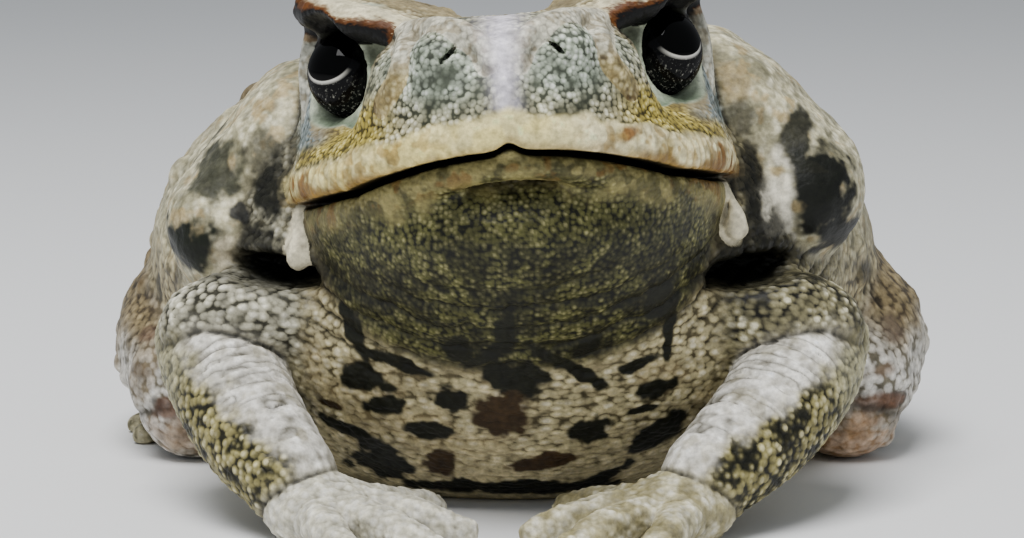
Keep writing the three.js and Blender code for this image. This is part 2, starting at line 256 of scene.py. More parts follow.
def toe(side, tip):
    root = [*TOE_ROOT, tip[3] + 0.8]
    bend = [0.45 * a + 0.55 * b for a, b in zip(root, tip)]
    bend[2] += 0.6
    return tube(on_side(side, [root, bend, tip]), 3)


def foot(side):
    tarsus = tube(on_side(side, [[35.5, 63.5, 4.2, 3.8], [40.5, 54, 3.4, 3.8], [*TOE_ROOT, 3.6]]), 3)
    web = ball([side * 48.5, 32, 0.9], [8, 9, 1.3])
    return blended(1.2, tarsus, web, *[toe(side, tip) for tip in TOES])


def thigh(side):
    spread = LEG_SPREAD[side]
    knee = [[52.6 + spread, 20, 17.5, 12.4], [52.4 + spread, 6, 13, 9.6]]
    return tube(on_side(side, [[24, 60, 21, 14], [42, 42, 20.5, 14.5], *knee]))


def shank(side):
    spread = LEG_SPREAD[side]
    knee = [[51.5 + spread, 5.5, 8.6, 8.6], [53.4 + spread, 22, 9.4, 8.4]]
    return tube(on_side(side, [*knee, [47, 44, 10.2, 7.2], [36, 59, 8, 5.2]]))


# %% [markdown]
# ## The head
#
# The skull is wide and flat with a blunt snout. A hard crest runs from the snout over each eye and flares
# there like a brow; others run down in front of the eye and behind it. The lip is a fat roll that overhangs
# the lower jaw.

# %% Skull, jaw, crests and lips
CANTHUS = [[13, -47, 70.2, 1.9], [9.4, -55, 71.2, 1.8], [5.8, -60, 71.2, 1.6], [3, -62.8, 69.8, 1.4],
           [1.6, -64.6, 67, 1.2]]
BROW = [[12.8, -44, 69.4, 1.9], [18, -42, 71.4, 2.2], [24, -37, 73, 2.3], [27.2, -29, 73.6, 2.2],
        [25.6, -19, 71, 2]]
PREOCULAR = [[12.6, -48, 70, 1.8], [13.2, -56.4, 68.2, 1.5], [14.4, -58.4, 65, 1.5], [16.0, -57.2, 61.8, 1.2]]
POSTORBITAL = [[26.4, -23.5, 71, 1.8], [28, -24.5, 65, 1.8], [28.2, -25.5, 59, 1.5]]
RICTAL_GLAND = [[29.8, -33, 45.2, 0.6], [30.8, -34.5, 43, 0.6], [31.2, -35.2, 40.6, 1.3],
                [31.2, -35.2, 38.8, 1.7]]
SNOUT_RIDGE = [[0, -62.5, 68.6, 1.3], [0, -65.2, 66, 1.4], [0, -66, 60.5, 1.3]]
UPPER_LIP = dict(offset=2.6, radius=3.4, inset=2.6, first=0, last=180)
LOWER_LIP = dict(offset=-1.9, radius=1.7, inset=3.6, first=4, last=176)

SKULL = blended(
    8,
    ball([0, -27, 50], [31, 37, 14.5]),
    ball([0, -33, 59], [26, 27, 14]),
    ball([-21, -19, 62], [8, 9, 11]),
    ball([21, -19, 62], [8, 9, 11]),
    ball([0, -51.5, 61.5], [16.5, 14.5, 10]),
)
JAW = blended(6, ball([0, -27, 43], [29.5, 35.5, 15]), ball([0, -31, 36], [26, 25, 15]))


def rim_height(y):
    """The mouth line along the rim of the jaw, highest at the snout."""
    ys, zs = np.array(MOUTH_PROFILE, float).T
    return np.interp(y, ys, zs)


def mouth_height(x, y):
    """The surface along which the mouth shuts: level from the rim inwards, with a notch at the snout."""
    angle = np.arctan2(np.maximum(JAW_CORNER_Y - y, 0) / JAW_LENGTH, x / JAW_HALF_WIDTH)
    rim_y = np.where(y < JAW_CORNER_Y, JAW_CORNER_Y - JAW_LENGTH * np.sin(angle), y)
    return rim_height(rim_y) + NOTCH_HEIGHT * np.exp(-((x / NOTCH_WIDTH) ** 2)) * (y < -50)


def lip(offset, radius, inset, first, last):
    """A roll along the jaw's plan, a little above or below the mouth line."""
    angles = np.radians(np.linspace(first, last, 25))
    x = -(JAW_HALF_WIDTH - inset) * np.cos(angles)
    y = JAW_CORNER_Y - (JAW_LENGTH - inset) * np.sin(angles)
    z = rim_height(JAW_CORNER_Y - JAW_LENGTH * np.sin(angles)) + offset
    return tube([[a, b, c, radius] for a, b, c in zip(x, y, z)], 1)


def look_axis(side, out=50, up=6):
    """A direction turned out to one side and up. As it stands, it is the way an eye's opening faces."""
    a, e = math.radians(out), math.radians(up)
    return np.array([side * math.sin(a) * math.cos(e), -math.cos(a) * math.cos(e), math.sin(e)])


OPENING_DEPTH = 1.7
LID = 0.95


def eye_place(side):
    return EYE_CENTRE * [side, 1, 1]


def eye_shape(side, size, field):
    """A shape round an eye: field takes the distance from its centre, how far ahead and how far across."""
    def value(p):
        q = [p[i] - eye_place(side)[i] for i in range(3)]
        axis = look_axis(side)
        r = np.sqrt(sum(c * c for c in q))
        ahead = sum(q[i] * axis[i] for i in range(3))
        return field(r, ahead, np.sqrt(np.maximum(r * r - ahead * ahead, 0)))

    return rolled(Shape(value, eye_place(side) - size, eye_place(side) + size))


RIM_RADIUS = math.sqrt((EYE_RADIUS + LID / 2) ** 2 - OPENING_DEPTH**2)


def lids(r, ahead, across):
    """A thin shell that hugs the ball, with a rolled rim round the opening."""
    shell = np.maximum(np.abs(r - EYE_RADIUS - LID / 2) - LID / 2, ahead - OPENING_DEPTH)
    rim = np.sqrt((across - RIM_RADIUS) ** 2 + (ahead - OPENING_DEPTH) ** 2) - 0.75
    return smooth_min(shell, rim, 0.4)


def opening(r, ahead, across):
    """What is cleared in front of the ball, as a cone that widens away from it."""
    return np.maximum(OPENING_DEPTH - ahead, across - RIM_RADIUS + 0.3 - 0.5 * (ahead - OPENING_DEPTH))


# %% [markdown]
# The masses are melted into one field. Where the blend is small the skin keeps a crease, as it does under the
# glands, inside the elbow and between the folded legs.

# %% Joining and carving on the grid
WORKED_ROUND = 2.5


def unite(target, shape, blend):
    margin = blend + WORKED_ROUND
    cut, p = window(shape.low - margin, shape.high + margin)
    target[cut] = smooth_min(target[cut], shape.field(p), blend)


def carve(target, shape, blend):
    margin = blend + WORKED_ROUND
    cut, p = window(shape.low - margin, shape.high + margin)
    target[cut] = smooth_max(target[cut], -shape.field(p), blend)


def blank():
    return np.full(COUNT, FAR, np.float32)


# %% The head: skull and jaw apart, then shut along the mouth
upper, lower = blank(), blank()
unite(upper, rolled(SKULL), 0.1)
unite(lower, rolled(JAW), 0.1)
unite(upper, rolled(tube(SNOUT_RIDGE)), 2.5)
# the forehead is hollow between the brows
carve(upper, rolled(ball([0, -26, 82], [16, 36, 12])), 3)
for side in SIDES:
    # a hollow in front of each eye, the roof over it, and the pit under the front end of the brow
    carve(upper, rolled(ball([side * 25.5, -44, 62.6], [7.5, 9, 6])), 4)
    unite(upper, rolled(ball([side * 17.5, -31, 71.4], [11, 13.5, 3.4], (0, side * -8, 0))), 2.5)
    carve(upper, rolled(ball([side * 17.6, -42.6, 66.6], [4.6, 3.4, 3.6])), 1.2)
    for stations, blend in ((BROW, 0.8), (CANTHUS, 1.0), (PREOCULAR, 0.9), (POSTORBITAL, 1.2)):
        unite(upper, rolled(tube(on_side(side, stations))), blend)
    # the swelling that holds each nostril, and the eardrum
    unite(upper, rolled(ball([side * 7.8, -59, 67.2], [4.4, 4.6, 4.2])), 2)
    unite(upper, rolled(ball([side * 28.8, -18.5, 56], [2, 3.6, 4.2])), 1.0)
unite(upper, rolled(lip(**UPPER_LIP)), 2.2)
unite(lower, rolled(lip(**LOWER_LIP)), 5)

HEAD_LOW, HEAD_HIGH = np.array([-38, -72, 12]), np.array([38, 14, 82])
cut, p = window(HEAD_LOW, HEAD_HIGH)
q = level(p)
from_mouth = q[2] - mouth_height(q[0], q[1])
top = smooth_max(upper[cut], -from_mouth, 0.8)
bottom = smooth_max(lower[cut], from_mouth, 0.8)
# deep inside, the two are one; the shut mouth is a slot that runs in from the rim and ends at the corners
SLOT_HALF, SLOT_DEPTH = 0.45, 4.5
joined = np.maximum(np.abs(from_mouth) - 1.5, np.minimum(upper[cut], lower[cut]) + 1.2)
head = np.minimum(np.minimum(top, bottom), joined)
slot = np.maximum(np.abs(from_mouth) - SLOT_HALF, -(head + SLOT_DEPTH))
slot = np.maximum(slot, q[1] - JAW_CORNER_Y - 2)
upper[cut] = smooth_max(head, -slot, 0.5)
head = upper
for side in SIDES:
    # the slit of the nostril, the lids, what is cleared in front of the eye ball, and its socket
    carve(head, rolled(ball([side * 7.1, -63.9, 68.3], [0.5, 4, 1.9], (0, side * -48, 0))), 0.25)
    unite(head, eye_shape(side, 8, lids), 1.2)
    carve(head, eye_shape(side, 14, opening), 0.5)
    carve(head, eye_shape(side, 7, lambda r, ahead, across: r - EYE_RADIUS - 0.1), 0.25)
    unite(head, rolled(tube(on_side(side, RICTAL_GLAND))), 0.8)
print("head is done")

# %% One field for the whole animal
body = blank()
unite(body, TRUNK, 0.1)
for side in SIDES:
    unite(body, thigh(side), 4)
    unite(body, shank(side), 1.6)
    unite(body, foot(side), 1.2)
    unite(body, parotoid(side), 1.4)
    unite(body, upper_arm(side), 3)
    unite(body, forearm(side), 0.4)
    unite(body, hand(side), 2)
    # the fold of the neck runs in deep under the gland and the corner of the jaw
    carve(body, ball([side * 34, -33, 34.8], [10, 10, 2.5], (0, side * -6, 0)), 1.5)
# the throat runs on into the chest, but the rest of the head keeps its crease
cut, p = window(HEAD_LOW, HEAD_HIGH)
low_middle = np.clip((39 - p[2]) / 6, 0, 1) * np.clip((30 - np.abs(p[0])) / 8, 0, 1)
body[cut] = smooth_min(body[cut], head[cut], 0.8 + 6 * low_middle)
body = smooth_max(body, -AXES[2][None, None, :], 0.3).astype(np.float32)
print("field is done:", body.shape)

# %% [markdown]
# A surface is drawn where the field is zero, and its points are evened out a little so that the grid doesn't
# show. The front of the toad, where the granules are finest, is then split once more, and its face twice.

# %% Draw the surface
def surface_of(field):
    grid = openvdb.FloatGrid(FAR)
    grid.copyFromArray(np.clip(field, -2, 2), tolerance=0.0)
    points, triangles, quads = grid.convertToPolygons(isovalue=0.0, adaptivity=0.0)
    halves = [quads[:, [0, 1, 2]], quads[:, [0, 2, 3]]]
    return points * CELL + LOW, np.vstack([triangles, *halves]).astype(np.int64)


def edge_ends(faces):
    """Both ends of every edge of every triangle, taken both ways."""
    return faces[:, [0, 1, 2, 1, 2, 0]].ravel(), faces[:, [1, 2, 0, 0, 1, 2]].ravel()


def neighbour_mean(points, faces):
    a, b = edge_ends(faces)
    many = np.bincount(a, minlength=len(points))
    total = np.stack([np.bincount(a, points[b, i], minlength=len(points)) for i in range(3)], axis=1)
    return total / np.maximum(many, 1)[:, None]


def normals_of(points, faces):
    a, b, c = (points[faces[:, i]] for i in range(3))
    each = np.cross(b - a, c - a)
    total = np.stack([sum(np.bincount(faces[:, k], each[:, i], minlength=len(points)) for k in range(3))
                      for i in range(3)], axis=1)
    return total / np.maximum(np.linalg.norm(total, axis=1), 1e-9)[:, None]


def largest_piece(points, faces):
    """Keeps the main closed surface, without any small pocket inside it."""
    a, b = edge_ends(faces)
    order = np.argsort(a, kind="stable")
    starts = np.searchsorted(a[order], np.arange(len(points)))
    b = b[order]
    group = np.arange(len(points))
    while True:
        after = np.minimum(group, np.minimum.reduceat(group[b], starts))
        after = after[after]
        if np.array_equal(after, group):
            break
        group = after
    main = np.bincount(group).argmax()
    kept = faces[group[faces[:, 0]] == main]
    used = np.unique(kept)
    place = np.full(len(points), -1)
    place[used] = np.arange(len(used))
    return points[used], place[kept]


def refined(points, faces, wanted):
    """Splits every edge whose two ends are wanted, at its middle."""
    edges = np.stack([faces, np.roll(faces, -1, axis=1)], axis=2).reshape(-1, 2)
    edges.sort(axis=1)
    keys = edges[:, 0] * len(points) + edges[:, 1]
    _, first, inverse = np.unique(keys, return_index=True, return_inverse=True)
    chosen = wanted[edges[first, 0]] & wanted[edges[first, 1]]
    index = np.where(chosen, len(points) + np.cumsum(chosen) - 1, -1)
    middles = points[edges[first[chosen]]].mean(axis=1)
    m = index[inverse].reshape(-1, 3)
    whole = (m >= 0).sum(1)
    out = [faces[whole == 0]]
    f, k = faces[whole == 3], m[whole == 3]
    out += [np.stack(t, axis=1) for t in ((f[:, 0], k[:, 0], k[:, 2]), (k[:, 0], f[:, 1], k[:, 1]),
                                          (k[:, 2], k[:, 1], f[:, 2]), (k[:, 0], k[:, 1], k[:, 2]))]
    for turn in range(3):
        single = (whole == 1) & (m[:, turn] >= 0)
        f, k = np.roll(faces[single], -turn, axis=1), m[single, turn]
        out += [np.stack([f[:, 0], k, f[:, 2]], axis=1), np.stack([k, f[:, 1], f[:, 2]], axis=1)]
    return np.vstack([points, middles]), np.vstack(out)


points, faces = surface_of(body)
points, faces = largest_piece(points, faces)
if np.einsum("ij,ij->i", points[faces[:, 0]], np.cross(points[faces[:, 1]], points[faces[:, 2]])).sum() < 0:
    faces = faces[:, ::-1]
for _ in range(2):
    points += 0.5 * (neighbour_mean(points, faces) - points)
normals = normals_of(points, faces)
front = (points[:, 1] < 4) & (normals[:, 1] < 0.45) & (normals[:, 2] > -0.85)
points, faces = refined(points, faces, front)
normals = normals_of(points, faces)
face = (points[:, 1] < -40) & (points[:, 2] > 46) & (normals[:, 1] < 0.1) & (np.abs(points[:, 0]) < 29)
points, faces = refined(points, faces, face)
normals = normals_of(points, faces)
print("skin has", len(points), "points and", len(faces), "triangles")

# %% [markdown]
# ## Patterns
#
# A toad's skin is never plain. It is cobbled with granules, pitted, folded, and blotched in colours that
# break up its outline. Noise gives slow, soft changes. Cells give scattered beads with gaps between them.
# Both are worked out at the skin's own points, so the relief and the paint always fall together.

# %% Noise and cells
def step(low, high, value):
    """Eases from 0 to 1 as a value goes from low to high."""
    t = np.clip((value - low) / (high - low), 0, 1)
    return t * t * (3 - 2 * t)


def scattered(ix, iy, iz, seed):
    """A repeatable random number from 0 to 1 for each whole-numbered place."""
    h = ix * np.uint32(0x8DA6B343) ^ iy * np.uint32(0xD8163841) ^ iz * np.uint32(0xCB1AB31F)
    h = h ^ np.uint32(seed * 0x9E3779B1 % 2**32)
    h = (h ^ (h >> np.uint32(15))) * np.uint32(0x2C1B3C6D)
    h = (h ^ (h >> np.uint32(12))) * np.uint32(0x297A2D39)
    return ((h ^ (h >> np.uint32(15))) >> np.uint32(8)).astype(np.float32) / np.float32(2**24)


def corners(base, offset):
    return [(base[:, i] + offset[i]).astype(np.uint32) for i in range(3)]


def noise(p, size, seed, octaves=1):
    """Smooth random values from -1 to 1 that change over about size millimetres."""
    total, weight = 0, 0
    for octave in range(octaves):
        q = p / (size / 2**octave) + 512
        base = np.floor(q)
        t = q - base
        t = t * t * (3 - 2 * t)
        value = 0
        for offset in np.ndindex(2, 2, 2):
            share = np.prod([t[:, i] if offset[i] else 1 - t[:, i] for i in range(3)], axis=0)
            value = value + share * scattered(*corners(base, offset), seed + octave)
        total = total + (2 * value - 1) / 2**octave
        weight += 1 / 2**octave
    return total / weight * 1.6


def cells(p, size, seed):
    """Scattered centres about size apart: how far the nearest is, and its own number from 0 to 1."""
    q = (p / size + 512).astype(np.float32)
    base = np.floor(q)
    nearest = np.full(len(q), 9, np.float32)
    own = np.zeros(len(q), np.float32)
    for offset in np.ndindex(3, 3, 3):
        offset = np.array(offset) - 1
        place = corners(base, offset)
        random = [scattered(*place, seed + k) for k in range(3)]
        away = sum((base[:, i] + offset[i] + 0.1 + 0.8 * random[i] - q[:, i]) ** 2 for i in range(3))
        nearer = away < nearest
        own = np.where(nearer, random[0], own)
        nearest = np.where(nearer, away, nearest)
    return np.sqrt(nearest), own


def beads(p, size, seed, stretch=(1, 1, 1)):
    """Granules, from 0 in the gaps between them to 1 on their tops."""
    nearest, own = cells(p / np.array(stretch), size, seed)
    dome = np.clip(1.05 - (nearest / 0.7) ** 2, 0, 1) ** 0.75
    return dome * (0.65 + 0.35 * own)


def only(mask, pattern):
    """A pattern worked out only where a mask wants it."""
    some = mask > 0.02
    result = np.zeros(len(mask))
    result[some] = pattern(points[some])
    return result


def outside(shape, margin=6.0):
    """How far each point of the skin lies outside a shape, or margin where it is further than that."""
    near = np.all((points > shape.low - margin) & (points < shape.high + margin), axis=1)
    gap = np.full(len(points), margin)
    gap[near] = np.minimum(shape.field(tuple(points[near].T)), margin)
    return gap


# %% [markdown]
# Each point of the skin is told which part of the toad it belongs to, by its distance from the shapes that
# built the skin. Its shares of the parts ease into each other over half a millimetre or so.

# %% Which part each point belongs to
def nearest_of(shapes, margin=6.0):
    """How far each point lies outside the nearest of several shapes."""
    return np.min([outside(shape, margin) for shape in shapes], axis=0)


def head_ridges(*ridges):
    return [rolled(tube(on_side(side, stations))) for side in SIDES for stations in ridges]


# px, py and pz are the places of the skin's points; ux, uy and uz the same as the level head sees them
px, py, pz = points.T
nx, ny, nz = normals.T
ux, uy, uz = level(points.T)
u = np.stack([ux, uy, uz], axis=1)
from_middle = np.abs(ux)
from_mouth = uz - mouth_height(ux, uy)
crest_gap = nearest_of(head_ridges(BROW, CANTHUS, PREOCULAR, POSTORBITAL), 3)
brow_gap = nearest_of(head_ridges(BROW), 6)
gland_gap = nearest_of(head_ridges(RICTAL_GLAND), 2)
upper_lip_gap = outside(rolled(lip(**UPPER_LIP)), 3)
lower_lip_gap = outside(rolled(lip(**LOWER_LIP)), 3)
eye_gap = np.min([np.linalg.norm(u - eye_place(side), axis=1) for side in SIDES], axis=0) - EYE_RADIUS
skull_gap = np.minimum(np.minimum(outside(rolled(SKULL)), crest_gap), np.minimum(upper_lip_gap, eye_gap))
# above the mouth a point can hardly be the jaw's, and below it hardly the head's
mouth_side = np.clip(from_mouth * 4, -6, 6)
gaps = {
    "head": skull_gap + np.maximum(-mouth_side, 0),
    "jaw": np.minimum(outside(rolled(JAW)), lower_lip_gap) + np.maximum(mouth_side, 0),
    "trunk": outside(TRUNK),
}
for part in (parotoid, upper_arm, forearm, hand, thigh, shank, foot):
    gaps[part.__name__] = nearest_of([part(side) for side in SIDES])
SHARED = 0.5
closest = np.min(list(gaps.values()), axis=0)
share = {part: np.exp(-(gap - closest) / SHARED) for part, gap in gaps.items()}
whole = sum(share.values())
share = {part: value / whole for part, value in share.items()}
print({part: int(value.sum()) for part, value in share.items()}, "points each")


def on(*parts):
    """The share of each point that belongs to any of some parts."""
    return sum(share[part] for part in parts)


# %% [markdown]
# Masks pick out what has a look of its own, from the hard crests to the creases where two parts meet.

# %% Masks
LIP_HEIGHT = 5.1
wander = noise(points, 3.0, 11, 2)
crest = (1 - step(0.1, 1.1, crest_gap)) * on("head")
mouth_inside = 1 - step(SLOT_HALF * 0.9, SLOT_HALF * 1.6, np.abs(from_mouth))
mouth_inside = mouth_inside * on("head", "jaw") * (uy < JAW_CORNER_Y + 3)
past_lip = from_mouth - LIP_HEIGHT + 0.02 * from_middle + wander * 0.7
lip_mask = step(-0.2, 0.2, from_mouth) * (1 - step(-0.6, 0.9, past_lip))
lip_mask = lip_mask * on("head") * (uy < JAW_CORNER_Y + 5)
# the lid is broad at the eye's inner corner
inner_corner = step(-0.3, 0.2, (EYE_CENTRE[0] - from_middle) / 5) * step(36, 39, -uy)
lid = (1 - step(1.9 + 3.2 * inner_corner, 3.1 + 3.2 * inner_corner, eye_gap)) * (1 - crest)
midline_width = 1.6 + 0.14 * np.maximum(uz - 64, 0)
midline = np.exp(-((ux / midline_width) ** 2)) * on("head") * (uy < -50)
back = step(0.15, 0.6, nz) * step(-6, 6, py)
chest = on("trunk") * (1 - step(-16, -4, py))
flank = on("trunk") * (1 - chest / np.maximum(on("trunk"), 1e-3))

along_arm = np.zeros(len(points))
inner_arm = np.zeros(len(points))
for side in SIDES:
    mine = (on("forearm", "hand") > 0.02) & (side * px > 0)
    path = eased_path(forearm_stations(side))
    along_arm[mine] = along_path(tuple(points[mine].T), path)[1]
    lean = -0.8 * side * nx + 0.5 * nz + 0.035 * (pz - 17)
    inner_arm = np.where(mine, step(-0.25, 0.35, lean + 0.25 * wander), inner_arm)
inner = on("forearm") * inner_arm
outer = on("forearm") * (1 - inner_arm)


def crease(one, other, width=0.45, reach=1.6):
    """Where two parts meet: 1 along the line between them, falling away on both sides."""
    along = np.exp(-(((gaps[one] - gaps[other]) / width) ** 2))
    return along * (1 - step(reach * 0.5, reach, np.maximum(gaps[one], gaps[other])))


CREASED = [("upper_arm", "forearm"), ("hand", "forearm"), ("head", "parotoid"), ("parotoid", "upper_arm"),
           ("thigh", "shank")]
creases = np.max([crease(one, other) for one, other in CREASED], axis=0) * np.clip(0.75 + 0.5 * wander, 0, 1)
print("lip", int(lip_mask.sum()), "crest", int(crest.sum()), "inner arm", int(inner_arm.sum()), "points")

# %% [markdown]
# ## Relief
#
# Heights are in millimetres. Granules are finest on the throat and coarsest on the flanks and legs. The lip
# is fluted, the throat has curved folds, and the inner side of each forearm has wrinkles that run round it.
# Warts stand on the back and legs.

# %% Granules
GRAIN = {"head": 0.78, "throat": 0.72, "chest": 0.9, "shoulder": 1.0, "forearm": 1.15, "body": 1.3}


def uneven(p, size, seed, amount, low, high):
    """Makes the granules of some patches higher than those of others."""
    return np.clip(1 + amount * noise(p, size, seed), low, high)


smooth_head = np.clip(0.7 * crest + lip_mask * 0.8 + lid + midline * 0.9 + mouth_inside, 0, 1)
shoulder = chest * step(26, 34, np.abs(px))
head_beads = only(on("head"), lambda p: beads(p, GRAIN["head"], 21) * uneven(p, 1.6, 23, 0.6, 0.3, 1.15))
fine_beads = only(on("jaw") + lip_mask, lambda p: beads(p, GRAIN["throat"], 24))
chest_beads = only(chest, lambda p: beads(p, GRAIN["chest"], 27, (1.9, 1, 1)))
arm_beads = only(on("upper_arm") + shoulder, lambda p: beads(p, GRAIN["shoulder"], 30, (1.5, 1, 1))
                 * uneven(p, 2.4, 32, 0.5, 0.35, 1.1))
fore_beads = only(on("forearm", "hand"), lambda p: beads(p, GRAIN["forearm"], 33))
body_beads = only(flank + on("thigh", "shank", "foot", "parotoid"), lambda p: beads(p, GRAIN["body"], 36))
swelling = noise(points, 6.0, 40, 2)
fine = noise(points, 1.1, 43, 2)

# %% [markdown]
# A fold is a rounded crest with a narrower groove beside it. Folds follow each other round the lip, down the
# throat or along the arm.

# %% Warts and folds
FLUTE, THROAT_FOLD, CHEST_FOLD, WRINKLE, DEEP_WRINKLE = 2.1, 3.1, 3.4, 1.7, 6.2
LIP_PER_DEGREE, FOREARM_LENGTH = 0.6, 34


def warts(mask, size, height, seed):
    """Separate round warts, some cells of the pattern bearing none."""
    def bumps(p):
        near, own = cells(p, size, seed)
        return np.clip(1 - (near / 0.42) ** 2, 0, 1) ** 1.3 * step(0.35, 0.6, own)

    return only(mask, bumps) * height * mask


def ripples(phase, wavelength, sharpness=1.0):
    """Folds: rounded crests with narrower grooves, from 0 to 1."""
    return (0.5 + 0.5 * np.cos(2 * math.pi * phase / wavelength)) ** (0.5 * sharpness)


upper_shoulder = on("upper_arm") + 0.8 * shoulder
lip_side = step(12, 22, from_middle)
lip_way = np.degrees(np.arctan2(-(uy - JAW_CORNER_Y), ux)) * LIP_PER_DEGREE
flutes = ripples(lip_way + 0.9 * wander, FLUTE)
throat_folds = ripples(uz - 0.011 * ux ** 2 + 0.7 * wander, THROAT_FOLD, 0.6)
throat_mask = (on("jaw") + chest * step(24, 28, uz)) * (1 - step(32, 41, uz))
arm_way = along_arm * FOREARM_LENGTH + 0.6 * wander
wrinkles = ripples(arm_way, WRINKLE, 0.7)
from_deep_wrinkle = ((arm_way + 20) % DEEP_WRINKLE) - DEEP_WRINKLE / 2
wart_tops = warts(back * on("trunk", "thigh"), 8.0, 1.5, 50)
wart_tops += warts((flank + on("thigh", "shank")) * (1 - back), 5.0, 0.8, 55)
wart_tops += warts(on("head") * step(60, 66, uz) * step(-40, -30, uy), 4.0, 0.5, 57)

# %% Raise the skin
relief = 0.17 * on("head") * (1 - smooth_head) * head_beads
relief += 0.08 * on("jaw") * fine_beads + 0.05 * lip_mask * fine_beads
relief += 0.17 * lip_mask * (flutes - 0.5) * lip_side
relief += 0.55 * throat_mask * (throat_folds - 0.6)
relief += 0.24 * chest * chest_beads + 0.25 * chest * (ripples(pz + wander, CHEST_FOLD) - 0.5)
relief += 0.34 * upper_shoulder * arm_beads
relief += 0.22 * inner * (wrinkles - 0.5) + 0.36 * outer * fore_beads
relief -= 0.5 * inner * np.exp(-((from_deep_wrinkle / 0.35) ** 2))
relief += on("hand") * (0.16 * fore_beads + 0.22 * wander + 0.1 * fine)
relief += 0.16 * (flank + on("thigh", "shank") + 0.4 * on("foot")) * body_beads
relief += on("parotoid") * (0.5 * swelling + 0.04 * body_beads + 0.1 * wander)
relief += 0.35 * (on("thigh") + flank) * swelling + 0.05 * fine
relief += wart_tops - 0.45 * creases
# the mouth, the eyes' rims, the rictal glands and whatever rests on the floor stay smooth
relief *= 1 - 0.85 * np.clip(mouth_inside + (eye_gap < 0.4), 0, 1)
relief *= step(0.0, 1.2, pz) * step(0.2, 1.0, gland_gap)
points = points + normals * relief[:, None]
points[:, 2] = np.maximum(points[:, 2], 0)
normals = normals_of(points, faces)
print("relief from", relief.min().round(2), "to", relief.max().round(2), "mm")

# %% [markdown]
# Hollows get painted shade, darker the deeper they are. A copy of the skin is smoothed, and a point is hollow
# by as much as the smooth copy stands over it.

# %% Measure the hollows
settled = points.copy()
for _ in range(9):
    settled += 0.8 * (neighbour_mean(settled, faces) - settled)
hollow = ((settled - points) * normals).sum(axis=1)
print("deepest hollow", hollow.max().round(2), "mm")

# %% [markdown]
# ## Colour
#
# Colours are written as the eye reads them and laid on one over another, like thin paint. First a body colour
# for each part, with painted shade in the gaps between its granules and painted light on their tops. Then the
# blotches, which are dark on cream, and last the features that name the animal's face.

# %% Laying on paint
def linear(code):
    """A colour as the eye reads it, as the amounts of light that a renderer mixes."""
    value = np.array([int(code[i:i + 2], 16) for i in (1, 3, 5)]) / 255
    return np.where(value <= 0.04045, value / 12.92, ((value + 0.055) / 1.055) ** 2.4)


paint = np.tile(linear("#9A8E68"), (len(points), 1))


def lay(mask, code):
    paint[:] += np.clip(mask, 0, 1)[:, None] * (linear(code) - paint)


def lay_beads(mask, height, gaps, body, tops):
    """Paints granules: a body colour, with painted shade in the gaps and painted light on the tops."""
    shade = linear(gaps) + step(0.0, 0.6, height)[:, None] * (linear(body) - linear(gaps))
    shade += step(0.6, 1.0, height)[:, None] * (linear(tops) - shade)
    paint[:] += np.clip(mask, 0, 1)[:, None] * (shade - paint)


px, py, pz = points.T
nx, ny, nz = normals.T
ragged = noise(points, 2.4, 60, 3)
broad = noise(points, 7.0, 64, 3)
mottle = step(0.02, 0.3, broad)
right_side = px < 0
left_side = px > 0


def specks(size, seed, low, high, octaves=2):
    """Patches of noise, from 0 to 1."""
    return step(low, high, noise(points, size, seed, octaves))


def spot(centre, radii, tilt=0.0, soft=0.16):
    """A blotch with a ragged, more or less soft outline. tilt turns it as seen from the front."""
    d = points - np.array(centre)
    c, s = math.cos(math.radians(tilt)), math.sin(math.radians(tilt))
    x, z = d[:, 0] * c + d[:, 2] * s, d[:, 2] * c - d[:, 0] * s
    r = np.sqrt((x / radii[0]) ** 2 + (d[:, 1] / radii[1]) ** 2 + (z / radii[2]) ** 2)
    return 1 - step(0.96 - soft, 0.96 + soft, r + 0.45 * ragged)


def haze(at, centre, radii, power=1):
    """A soft round patch on both sides: 1 at its middle, falling away smoothly."""
    return sum(np.exp(-(((at - np.array(centre) * [side, 1, 1]) / radii) ** 2).sum(axis=1) ** power)
               for side in SIDES)


# %% [markdown]
# The back is brown, the sides are greyer, and the hind legs pale in front. The chest is cream, the throat a
# dark olive with small pale granules, and the arms are whitish on their inner side.

# %% Flanks, hind legs and back
legs = on("thigh", "shank")
lay_beads(flank, body_beads, "#4A4230", "#9C8F6C", "#C2B894")
lay_beads(legs, body_beads, "#6A6454", "#CFCAC0", "#E6E2DA")
lay_beads(0.8 * legs * step(0, 22, py + 8 * broad), body_beads, "#4A4230", "#A0947A", "#C6BDA4")
lay(0.6 * legs * mottle, "#75664E")
lay(0.85 * (legs + flank) * specks(5.0, 68, 0.45, 0.7), "#38342A")
lay_beads(back * on("trunk", "thigh"), body_beads, "#3C3222", "#7E6F4F", "#9A8A66")
lay(0.8 * back * mottle * on("trunk"), "#4A3C28")
lay(0.8 * step(0.2, 0.9, wart_tops) * back, "#5A4A30")
lay_beads(on("foot"), body_beads, "#5F5A44", "#B4AC8C", "#CFC8AC")

